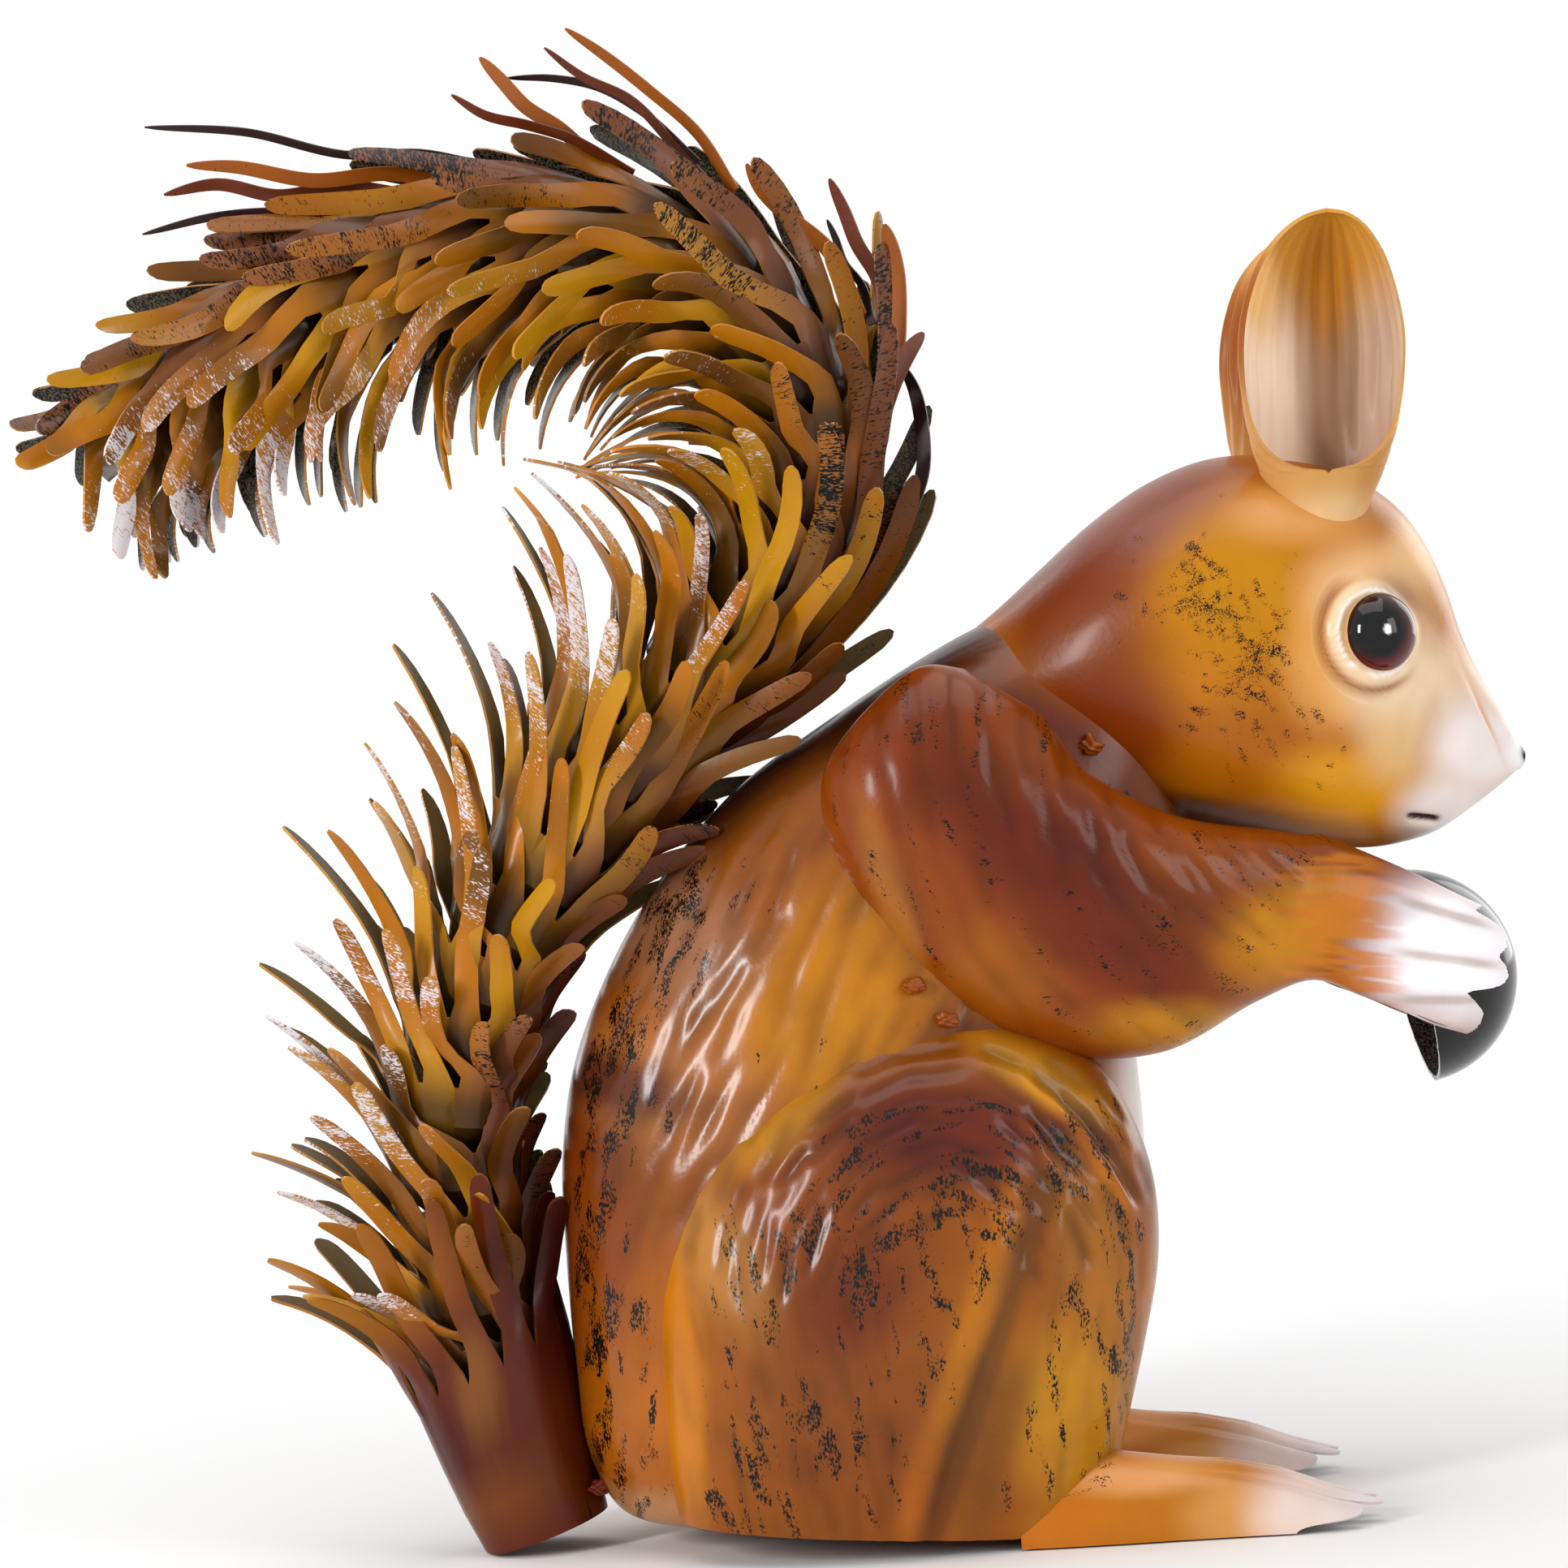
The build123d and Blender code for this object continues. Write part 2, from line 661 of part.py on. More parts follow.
arm_beads = []
for forward, rise in bead_shares:
    spot = outermost(arm_x + forward * arm_length, arm_z + rise * arm_length)
    arm_beads.append(bead(Vector(spot.X, spot.Y + bead_sink, spot.Z)))
arm_beads_right = Compound([solid for piece in arm_beads for solid in piece.solids()])
tail_bead_y = tail_bead_share * sleeve_foot_radius
back_point = Vector(-2 * torso_length, -tail_bead_y, tail_bead_height)
back_line = Edge.make_line(back_point, Vector(0, -tail_bead_y, tail_bead_height)) & torso_form
back_corner = min(back_line.vertices(), key=lambda corner: corner.X)
tail_bead = Location((back_corner.X - bead_sink, -tail_bead_y, tail_bead_height))
tail_bead = tail_bead * Solid.make_sphere(bead_radius, angle1=-90, angle2=90) - torso_keepout
sleeve_skin = sleeve_wall + weld_gap
sleeve_form = tail_cone(0, sleeve_height, sleeve_foot_radius + sleeve_skin, sleeve_top_radius + sleeve_skin)
tail_bead = tail_bead - sleeve_form


# Tail collars
def shares_at(place):
    """Interpolates the table of the collars at a place along the rod."""
    rows = collar_shares
    for low, high in zip(rows, rows[1:]):
        if place <= high[0]:
            break
    part = min(max((place - low[0]) / (high[0] - low[0]), 0), 1)
    return [between(a, b, part) for a, b in zip(low[1:], high[1:])]


collars = []
for number in range(collar_count):
    start = collar_first + number * collar_pitch
    length, free, side, body = shares_at(start / rod_length)
    tips = (free * finger_reach, side * finger_reach, body * finger_reach)
    rim = start + collar_depth
    hub = rod_radius + hub_gap
    cup = tail_cone(start, rim, hub + collar_wall, collar_radius + collar_wall)
    cup = cup - tail_cone(start, rim, hub, collar_radius)
    slope = (collar_radius - hub) / collar_depth
    root_reach = collar_radius + (collar_wall - finger_sheet) * finger_seat_share
    offset = 0.5 * (number % 2)
    collar = fringe(cup, rim, slope, length * finger_length, root_reach, tips, offset)
    for carrier, degrees, strand_length, strand_reach in strand_shares:
        if carrier == number:
            length = strand_length * finger_length
            reach = strand_reach * finger_reach
            angle = math.radians(degrees)
            strand = finger(rim, slope, length, angle, root_reach, reach, number, strand_width, strand_bow)
            collar = collar.fuse(strand)
    collars.append(collar)


nodes = {
    "torso_shell_right": torso_right,
    "torso_shell_left": torso_left,
    "head_shell_right": head_right,
    "head_shell_left": head_left,
    "eye_right": eye_right,
    "eye_left": mirrored(eye_right),
    "ear_right": ear_right,
    "ear_left": ear_left,
    "haunch_right": haunch_right,
    "haunch_left": haunch_left,
    "arm_right": arm_right,
    "arm_left": arm_left,
    "nut_shell": nut_shell,
    "foot_right": foot_right,
    "foot_left": foot_left,
    "tail_rod": tail_rod,
    "tail_base_sleeve": tail_base_sleeve,
    "tail_base_plate": tail_base_plate,
    "arm_weld_beads_right": arm_beads_right,
    "arm_weld_beads_left": mirrored(arm_beads_right),
    "tail_weld_bead": tail_bead,
}
for number, collar in enumerate(collars, 1):
    nodes[f"tail_fringe_{number:02d}"] = collar

os.makedirs("parts", exist_ok=True)
for name, piece in nodes.items():
    export_step(piece, f"parts/{name}.step")
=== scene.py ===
# %% [markdown]
# A sitting squirrel ornament, pressed from thin steel sheet, welded together and painted by hand.
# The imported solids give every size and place. Here each pressing gets its smooth form, its embossed
# fur, its slit metal fringe and its sprayed and brushed lacquer. The ornament's numbers are millimetres
# in its own frame: X to the nose, Y to its left side, Z up from the ground. The camera, the floor and
# the lamps are given in metres.

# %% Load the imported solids
import math

import bpy
import numpy as np
from mathutils import Matrix, Vector


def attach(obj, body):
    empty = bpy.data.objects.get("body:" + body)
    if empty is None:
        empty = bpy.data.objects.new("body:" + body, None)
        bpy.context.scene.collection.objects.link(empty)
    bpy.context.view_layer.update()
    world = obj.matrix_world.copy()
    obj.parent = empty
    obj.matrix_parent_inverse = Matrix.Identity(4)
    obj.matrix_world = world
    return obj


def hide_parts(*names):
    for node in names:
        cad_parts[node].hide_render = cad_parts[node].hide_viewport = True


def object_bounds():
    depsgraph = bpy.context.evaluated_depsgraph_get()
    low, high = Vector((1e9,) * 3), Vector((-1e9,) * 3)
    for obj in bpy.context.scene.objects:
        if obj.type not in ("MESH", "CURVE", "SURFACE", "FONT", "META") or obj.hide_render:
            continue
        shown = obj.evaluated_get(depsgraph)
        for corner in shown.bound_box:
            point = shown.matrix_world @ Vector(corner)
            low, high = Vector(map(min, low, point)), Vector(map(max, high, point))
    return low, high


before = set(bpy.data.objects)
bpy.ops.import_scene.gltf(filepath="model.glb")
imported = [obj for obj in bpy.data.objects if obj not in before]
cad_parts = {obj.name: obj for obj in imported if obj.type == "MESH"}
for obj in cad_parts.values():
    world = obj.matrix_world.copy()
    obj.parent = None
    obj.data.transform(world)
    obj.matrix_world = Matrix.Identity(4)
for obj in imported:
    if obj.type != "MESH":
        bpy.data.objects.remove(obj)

cad_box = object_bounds()
box_mm = [[round(v * 1000, 1) for v in corner] for corner in cad_box]
print("solids:", len(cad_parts), "box in mm:", box_mm)

# %% [markdown]
# The ornament is seen from its right side, almost level, from less than a metre away. A long lens and a
# few degrees of roll give the same view, so the camera's axes are written as the two directions that
# point right and up in the picture.

# %% Camera
camera_place = (0.0009, -0.85867, 0.1466)
roll_cosine, roll_sine = 0.9978, 0.0663
bpy.ops.object.camera_add(location=camera_place)
camera = bpy.context.object
camera.name = "side_camera"
camera.data.lens = 100
camera.data.sensor_width = 36
camera.data.clip_start = 0.05
camera.data.clip_end = 20
picture_right = Vector((roll_cosine, 0, -roll_sine))
picture_up = Vector((roll_sine, 0, roll_cosine))
turned = Matrix((picture_right, picture_up, Vector((0, -1, 0)))).transposed()
camera.rotation_euler = turned.to_euler()
bpy.context.scene.camera = camera
print("camera at", [round(v, 3) for v in camera.location])

# %% [markdown]
# The finishes, the floor and the sky are all trees of nodes. Three helpers keep them short: one adds a node
# with its settings and the values of its sockets, one links sockets by name, and one starts a material.

# %% Nodes and links
def add_node(tree, kind, values=None, **settings):
    """A new node: settings are its own properties, and values go to its inputs by name or number."""
    node = tree.nodes.new(kind)
    for name, setting in settings.items():
        setattr(node, name, setting)
    for socket, value in (values or {}).items():
        node.inputs[socket].default_value = value
    return node


def link(tree, *runs):
    """Links sockets; each run is (from node, its output, to node, its input)."""
    for giver, output, taker, socket in runs:
        tree.links.new(giver.outputs[output], taker.inputs[socket])


def new_finish(name, values):
    """A new material with values on its shader; gives the material, its tree and the shader."""
    finish = bpy.data.materials.new(name)
    finish.use_nodes = True
    shader = finish.node_tree.nodes["Principled BSDF"]
    for socket, value in values.items():
        shader.inputs[socket].default_value = value
    return finish, finish.node_tree, shader


print("node helpers ready")

# %% [markdown]
# A plain pale floor carries the shadow. Far from the ornament it fades to a white that only the camera,
# mirrors and glass see, so no horizon cuts the picture. The fade is a soft ring on the floor's own
# coordinates, which stays put whatever the view.

# %% Floor
def white_when_seen(tree, base_shader):
    """Mixes a shader with plain white wherever the camera, a reflection or glass looks straight at it."""
    path = add_node(tree, "ShaderNodeLightPath")
    either = add_node(tree, "ShaderNodeMath", operation="MAXIMUM")
    any_ray = add_node(tree, "ShaderNodeMath", operation="MAXIMUM")
    glow = add_node(tree, "ShaderNodeEmission", {"Color": (1, 1, 1, 1), "Strength": 1})
    mix = add_node(tree, "ShaderNodeMixShader")
    link(
        tree, (path, "Is Camera Ray", either, 0), (path, "Is Glossy Ray", either, 1), (either, 0, any_ray, 0),
        (path, "Is Transmission Ray", any_ray, 1), (glow, 0, mix, 2),
    )
    tree.links.new(base_shader, mix.inputs[1])
    return any_ray.outputs[0], mix


floor_radius, floor_gap, fade_from, fade_to = 4, 0.0004, 0.16, 0.42
bpy.ops.mesh.primitive_circle_add(
    vertices=96, radius=floor_radius, fill_type="NGON", location=(0, 0, -floor_gap)
)
floor = bpy.context.object
floor.name = "floor"
floor_paint, tree, plain = new_finish(
    "pale_floor", {"Base Color": (0.9, 0.9, 0.9, 1), "Roughness": 0.85, "Specular IOR Level": 0.1}
)
seen, mix = white_when_seen(tree, plain.outputs[0])
place = add_node(tree, "ShaderNodeTexCoord")
reach = add_node(tree, "ShaderNodeVectorMath", operation="LENGTH")
ring = {"From Min": fade_from, "From Max": fade_to}
fade = add_node(tree, "ShaderNodeMapRange", ring, interpolation_type="SMOOTHSTEP")
both = add_node(tree, "ShaderNodeMath", operation="MULTIPLY")
tree.links.new(seen, both.inputs[0])
link(
    tree, (place, "Object", reach, 0), (reach, "Value", fade, "Value"), (fade, "Result", both, 1),
    (both, 0, mix, 0), (mix, 0, tree.nodes["Material Output"], "Surface"),
)
floor.data.materials.append(floor_paint)
print("floor radius", round(floor.dimensions.x / 2, 2), "m")

# %% [markdown]
# Glossy lacquer shows the lamps themselves, so their size and place matter as much as their strength. One
# tall soft box stands at the front left, where the long pearly streaks on the back and the haunch come
# from, a broad one hangs overhead, and two weak ones open the shadows.

# %% Lamps and world
def soft_box(name, place, aim, width, height, power):
    """An area lamp at a place, turned towards a point, all in metres and watts."""
    bpy.ops.object.light_add(type="AREA", location=place)
    lamp = bpy.context.object
    lamp.name = name
    lamp.data.shape = "RECTANGLE"
    lamp.data.size = width
    lamp.data.size_y = height
    lamp.data.energy = power
    lamp.rotation_euler = (Vector(aim) - Vector(place)).to_track_quat("-Z", "Y").to_euler()
    return lamp


lamps = [
    soft_box("left_box", (-0.75, -0.75, 0.42), (0.0, 0.0, 0.14), 0.14, 0.42, 7.2),
    soft_box("right_box", (0.85, -0.75, 0.45), (0.0, 0.0, 0.14), 0.4, 0.7, 3.6),
    soft_box("top_box", (0.0, -0.1, 1.1), (0.0, 0.0, 0.1), 0.9, 0.9, 5.0),
    soft_box("back_left_box", (-0.7, 0.8, 0.5), (0.0, 0.0, 0.15), 0.6, 0.8, 3.5),
    soft_box("back_right_box", (0.8, 0.7, 0.5), (0.0, 0.0, 0.15), 0.6, 0.8, 3.0),
]
sky_strength = 0.38
world = bpy.context.scene.world or bpy.data.worlds.new("studio")
bpy.context.scene.world = world
world.use_nodes = True
sky = world.node_tree
sky.nodes.clear()
dim = add_node(sky, "ShaderNodeBackground", {"Color": (1, 1, 1, 1), "Strength": sky_strength})
seen, mix = white_when_seen(sky, dim.outputs[0])
sky.links.new(seen, mix.inputs[0])
sky_out = add_node(sky, "ShaderNodeOutputWorld")
link(sky, (mix, 0, sky_out, "Surface"))
bpy.context.scene.view_settings.view_transform = "Standard"
print("lamps:", [lamp.name for lamp in lamps])

# %% [markdown]
# Five small helpers carry the whole model. Two clear the selection or pick one piece, because an operator
# acts on all that is selected. Three read a mesh's points and normals and write its points, in millimetres,
# so that a form can be worked out for all its points at once.

# %% Points of a mesh
def deselect_all():
    """Leaves edit mode and clears the selection, so that the next operator acts on its own piece alone."""
    if bpy.context.object and bpy.context.object.mode != "OBJECT":
        bpy.ops.object.mode_set(mode="OBJECT")
    bpy.ops.object.select_all(action="DESELECT")


def points_of(piece):
    flat = np.empty(len(piece.data.vertices) * 3)
    piece.data.vertices.foreach_get("co", flat)
    return flat.reshape(-1, 3) * 1000


def normals_of(piece):
    flat = np.empty(len(piece.data.vertices) * 3)
    piece.data.vertices.foreach_get("normal", flat)
    return flat.reshape(-1, 3)


def put_points(piece, points):
    piece.data.vertices.foreach_set("co", (np.asarray(points) / 1000).ravel())
    piece.data.update()


def make_active(piece):
    deselect_all()
    piece.select_set(True)
    bpy.context.view_layer.objects.active = piece


print("helpers ready")

# %% [markdown]
# The pressings are described by tables of sections, as a pattern maker's templates would: so far along,
# this wide, this high. A smooth curve through the rows gives every section between them, and a squared
# oval gives the points round each section.

# %% Sections between the rows of a table
def smooth_rows(rows, places):
    """Reads a table of sections at places from 0 to 1, on a smooth curve through its rows."""
    rows = np.array(rows, float)
    steps = np.linalg.norm(np.diff(rows, axis=0), axis=1)
    knots = np.concatenate([[0], np.cumsum(steps)]) / steps.sum()
    slopes = np.gradient(rows, knots, axis=0)
    places = np.clip(places, 0, 1)
    number = np.clip(np.searchsorted(knots, places, side="right") - 1, 0, len(knots) - 2)
    gap = (knots[number + 1] - knots[number])[:, None]
    s = (places - knots[number])[:, None] / gap
    start, end = rows[number], rows[number + 1]
    lead, trail = slopes[number] * gap, slopes[number + 1] * gap
    bend = (s**3 - 2 * s**2 + s) * lead + (s**3 - s**2) * trail
    return (2 * s**3 - 3 * s**2 + 1) * start + (3 * s**2 - 2 * s**3) * end + bend


def squared(angle, roundness):
    """Cosine and sine of an oval that is a little squarer than an ellipse."""
    c, s = np.cos(angle), np.sin(angle)
    power = 2 / roundness
    return np.sign(c) * np.abs(c) ** power, np.sign(s) * np.abs(s) ** power


def smooth_step(value, low, high):
    t = np.clip((value - low) / (high - low), 0, 1)
    return t * t * (3 - 2 * t)


print("halfway row of 0, 1, 4:", smooth_rows([(0,), (1,), (4,)], np.array([0.5])).ravel())

# %% [markdown]
# Closed forms such as the body and the head start as a round ball from the mesh menu. Its rings become the
# sections of the table and its poles become the two ends, so the form is closed from the start and has
# even faces to emboss.

# %% A ball drawn out to the sections of a table
def shaped_ball(name, rings, segments, section, low_cap=0.04, high_cap=0.04):
    """Adds a ball and moves each point to section(along, angle, swell): swell runs from 0 at a pole to 1."""
    deselect_all()
    bpy.ops.mesh.primitive_uv_sphere_add(segments=segments, ring_count=rings, radius=1)
    piece = bpy.context.object
    piece.name = name
    unit = points_of(piece) / 1000
    angle = np.arctan2(unit[:, 1], unit[:, 0])
    height = 1 - np.arccos(np.clip(unit[:, 2], -1, 1)) / math.pi
    along = np.clip((height - low_cap) / (1 - low_cap - high_cap), 0, 1)
    swell = np.minimum(np.clip(height / low_cap, 0, 1), np.clip((1 - height) / high_cap, 0, 1))
    put_points(piece, section(along, angle, swell))
    piece.data.shade_smooth()
    return piece


print("ball helper ready")

# %% Cutting, copying and thickening
def cut_away(piece, point, normal, fill=True):
    """Bisects a piece by a plane and throws away the side that the normal points to."""
    make_active(piece)
    bpy.ops.object.mode_set(mode="EDIT")
    bpy.ops.mesh.select_all(action="SELECT")
    spot = [v / 1000 for v in point]
    bpy.ops.mesh.bisect(plane_co=spot, plane_no=normal, clear_outer=True, clear_inner=False, use_fill=fill)
    bpy.ops.object.mode_set(mode="OBJECT")
    return piece


def copy_of(piece, name):
    """A copy with its own mesh."""
    make_active(piece)
    bpy.ops.object.duplicate()
    twin = bpy.context.object
    twin.name = name
    return twin


def mirror_across(piece):
    """Mirrors a piece to the other side of the middle plane and turns its faces back outwards."""
    points = points_of(piece)
    points[:, 1] *= -1
    put_points(piece, points)
    piece.data.flip_normals()
    return piece


def thicken(piece, sheet, offset=-1, back=0, rim=0):
    """Gives a sheet its thickness; back and rim count on from the front's material."""
    make_active(piece)
    wall = piece.modifiers.new("sheet", "SOLIDIFY")
    wall.thickness = sheet / 1000
    wall.offset = offset
    wall.use_even_offset = True
    wall.material_offset = back
    wall.material_offset_rim = rim
    bpy.ops.object.modifier_apply(modifier=wall.name)
    return piece


def smooth_within(piece, degrees=42):
    """Smooth shading that keeps the cut edges of a sheet crisp."""
    make_active(piece)
    bpy.ops.object.shade_smooth_by_angle(angle=math.radians(degrees))


def join_all(pieces, name):
    """Joins pieces into the first of them and names it."""
    deselect_all()
    for piece in pieces:
        piece.select_set(True)
    bpy.context.view_layer.objects.active = pieces[0]
    if len(pieces) > 1:
        bpy.ops.object.join()
    whole = bpy.context.object
    whole.name = name
    return whole


print("shaping helpers ready")

# %% [markdown]
# The lacquer is sprayed freehand: one colour fades into the next. A list of soft dabs, each with its place in
# the side view, its size and its colour, paints the same way on to a colour attribute of the mesh. Both sides
# of the ornament get the same dabs, because they depend only on the side view.

# %% Sprayed colour
gloss_haze = 0.022


def lacquer_mix(red, green, blue):
    """A colour picked on screen as linear values, a little deeper than it looks, as gloss adds some white."""
    picked = np.array([red, green, blue]) / 255
    linear = np.where(picked <= 0.04045, picked / 12.92, ((picked + 0.055) / 1.055) ** 2.4)
    return np.maximum(linear - gloss_haze * (1 - linear), 0.0015)


def spray(points, ground, dabs):
    """A ground colour, then dabs of (x, z, half length, half height, tilt, colour, cover), at each point."""
    colours = np.tile(lacquer_mix(*ground), (len(points), 1))
    for x, z, long, tall, tilt, colour, cover in dabs:
        c, s = math.cos(math.radians(tilt)), math.sin(math.radians(tilt))
        dx, dz = points[:, 0] - x, points[:, 2] - z
        u = (dx * c + dz * s) / long
        v = (dz * c - dx * s) / tall
        weight = (cover * (1 - smooth_step(np.sqrt(u * u + v * v), 0.25, 1.0)))[:, None]
        colours = colours * (1 - weight) + lacquer_mix(*colour) * weight
    return colours


def keep_colour(piece, name, colours):
    layers = piece.data.color_attributes
    layer = layers.get(name) or layers.new(name, "FLOAT_COLOR", "POINT")
    full = np.ones((len(colours), 4), np.float32)
    full[:, :3] = colours
    layer.data.foreach_set("color", full.ravel())


def keep_mask(piece, name, values):
    layer = piece.data.attributes.get(name) or piece.data.attributes.new(name, "FLOAT", "POINT")
    layer.data.foreach_set("value", np.asarray(values, np.float32))


def kept_mask(piece, name):
    values = np.empty(len(piece.data.vertices), np.float32)
    piece.data.attributes[name].data.foreach_get("value", values)
    return values


def keep_vector(piece, name, values):
    layer = piece.data.attributes.get(name) or piece.data.attributes.new(name, "FLOAT_VECTOR", "POINT")
    layer.data.foreach_set("vector", np.asarray(values, np.float32).ravel())


print("amber in linear values:", lacquer_mix(196, 118, 36).round(3))

# %% [markdown]
# Fur grooves and brush marks are the same thing to work out: soft strokes in the side view, each with a
# place, a lean, a length and a width. As relief they move points along the normals, and as paint they fill
# a mask.

# %% Soft strokes
def strokes_at(points, strokes):
    """Sum of soft strokes (x, z, degrees, length, width, depth) in the side view."""
    total = np.zeros(len(points))
    for x, z, degrees, length, width, depth in strokes:
        c, s = math.cos(math.radians(degrees)), math.sin(math.radians(degrees))
        dx, dz = points[:, 0] - x, points[:, 2] - z
        near = (np.abs(dx) < length) & (np.abs(dz) < length)
        u = (dx[near] * c + dz[near] * s) / (length / 2)
        v = (dz[near] * c - dx[near] * s) / (width / 2)
        total[near] += depth * np.exp(-(u**4)) * np.exp(-(v**2))
    return total


def emboss(piece, strokes, side_only=0.25):
    """Presses strokes into a form along its normals, fading out where the form turns away from the side."""
    points, normals = points_of(piece), normals_of(piece)
    facing = smooth_step(np.abs(normals[:, 1]), side_only * 0.4, side_only * 1.6)
    put_points(piece, points + normals * (strokes_at(points, strokes) * facing)[:, None])


def lay_on(colours, tone, cover):
    """Lays one more tone over the sprayed colours, by a cover from 0 to 1."""
    cover = np.clip(cover, 0, 1)[:, None]
    return colours * (1 - cover) + lacquer_mix(*tone) * cover


def combed(x_range, z_range, gap, lean_at, long, wide, deep):
    """Strokes on a shifted lattice, so that they lie in rows as combed; lean_at gives degrees at x and z."""
    rows = []
    for number, z in enumerate(np.arange(*z_range, gap[1])):
        for x in np.arange(*x_range, gap[0]) + (number % 2) * gap[0] / 2:
            x_here = x + dice.uniform(-0.3, 0.3) * gap[0]
            z_here = z + dice.uniform(-0.3, 0.3) * gap[1]
            lean = lean_at(x_here, z_here) + dice.uniform(-6, 6)
            strength = dice.uniform(0.45, 1.0) * deep
            size = (long * dice.uniform(0.75, 1.25), wide * dice.uniform(0.8, 1.2))
            rows.append((x_here, z_here, lean, *size, strength))
    return rows


dice = np.random.default_rng(7)
print("a stroke at its middle:", strokes_at(np.zeros((1, 3)), [(0, 0, 0, 10, 2, 1.0)]))

# %% [markdown]
# Two effects that the finishes share are node groups. The first breaks a painted mask into the dry, scratchy
# specks that a nearly empty brush leaves. The second is the fine orange peel of sprayed lacquer.

# %% Shared effects as node groups
def effect(name, inputs, outputs):
    """A new node group with named sockets: inputs are (name, socket type, value)."""
    group = bpy.data.node_groups.new(name, "ShaderNodeTree")
    for label, kind, value in inputs:
        socket = group.interface.new_socket(name=label, in_out="INPUT", socket_type=kind)
        if value is not None:
            socket.default_value = value
    for label, kind in outputs:
        group.interface.new_socket(name=label, in_out="OUTPUT", socket_type=kind)
    return group, group.nodes.new("NodeGroupInput"), group.nodes.new("NodeGroupOutput")


dry_brush, start, end = effect(
    "dry_brush",
    [("Place", "NodeSocketVector", None), ("Mask", "NodeSocketFloat", 0), ("Scale", "NodeSocketFloat", 2600),
     ("Stretch", "NodeSocketVector", (1, 1, 1))],
    [("Specks", "NodeSocketFloat")],
)
bristle_weight, patch_weight, speck_from, speck_to = 1.7, 0.8, 1.87, 1.99
squash = add_node(dry_brush, "ShaderNodeVectorMath", operation="MULTIPLY")
bristles = add_node(dry_brush, "ShaderNodeTexNoise", {"Detail": 4, "Roughness": 0.6})
patches = add_node(dry_brush, "ShaderNodeTexNoise", {"Scale": 420, "Detail": 3})
fine_share = add_node(dry_brush, "ShaderNodeMath", {1: bristle_weight}, operation="MULTIPLY_ADD")
patch_share = add_node(dry_brush, "ShaderNodeMath", {1: patch_weight}, operation="MULTIPLY_ADD")
threshold = {"From Min": speck_from, "From Max": speck_to}
edge = add_node(dry_brush, "ShaderNodeMapRange", threshold, interpolation_type="SMOOTHSTEP")
link(
    dry_brush, (start, "Place", squash, 0), (start, "Stretch", squash, 1), (squash, 0, bristles, "Vector"),
    (squash, 0, patches, "Vector"), (start, "Scale", bristles, "Scale"), (bristles, "Fac", fine_share, 0),
    (start, "Mask", fine_share, 2), (patches, "Fac", patch_share, 0), (fine_share, 0, patch_share, 2),
    (patch_share, 0, edge, "Value"), (edge, "Result", end, "Specks"),
)
print("dry brush:", len(dry_brush.nodes), "nodes")

# %% Orange peel
orange_peel, start, end = effect(
    "orange_peel",
    [("Scale", "NodeSocketFloat", 700), ("Depth", "NodeSocketFloat", 0.15)],
    [("Normal", "NodeSocketVector")],
)
where = add_node(orange_peel, "ShaderNodeTexCoord")
ripple = add_node(orange_peel, "ShaderNodeTexNoise", {"Detail": 2.5})
bumps = add_node(orange_peel, "ShaderNodeBump", {"Distance": 0.0004})
link(
    orange_peel, (where, "Object", ripple, "Vector"), (start, "Scale", ripple, "Scale"),
    (start, "Depth", bumps, "Strength"), (ripple, "Fac", bumps, "Height"), (bumps, "Normal", end, "Normal"),
)
print("groups:", [group.name for group in bpy.data.node_groups])

# %% [markdown]
# Every painted finish is built the same way: the sprayed colour of the piece, a little cloudy variation, dark
# specks from the dry brush, and a satin clear coat over fine orange peel. Some also have white specks, or the
# grey grain that shows on the backs of the sheets. Only the values differ, so one recipe makes them all and
# each finish is named for the piece it belongs to.

# %% Recipe of a painted finish
def paint_over(tree, colour, tone, cover):
    """Lays a tone over a colour as far as a socket covers it, and gives the socket of the result."""
    over = add_node(tree, "ShaderNodeMix", {"B": (*lacquer_mix(*tone), 1)}, data_type="RGBA")
    tree.links.new(cover, over.inputs["Factor"])
    tree.links.new(colour, over.inputs["A"])
    return over.outputs["Result"]


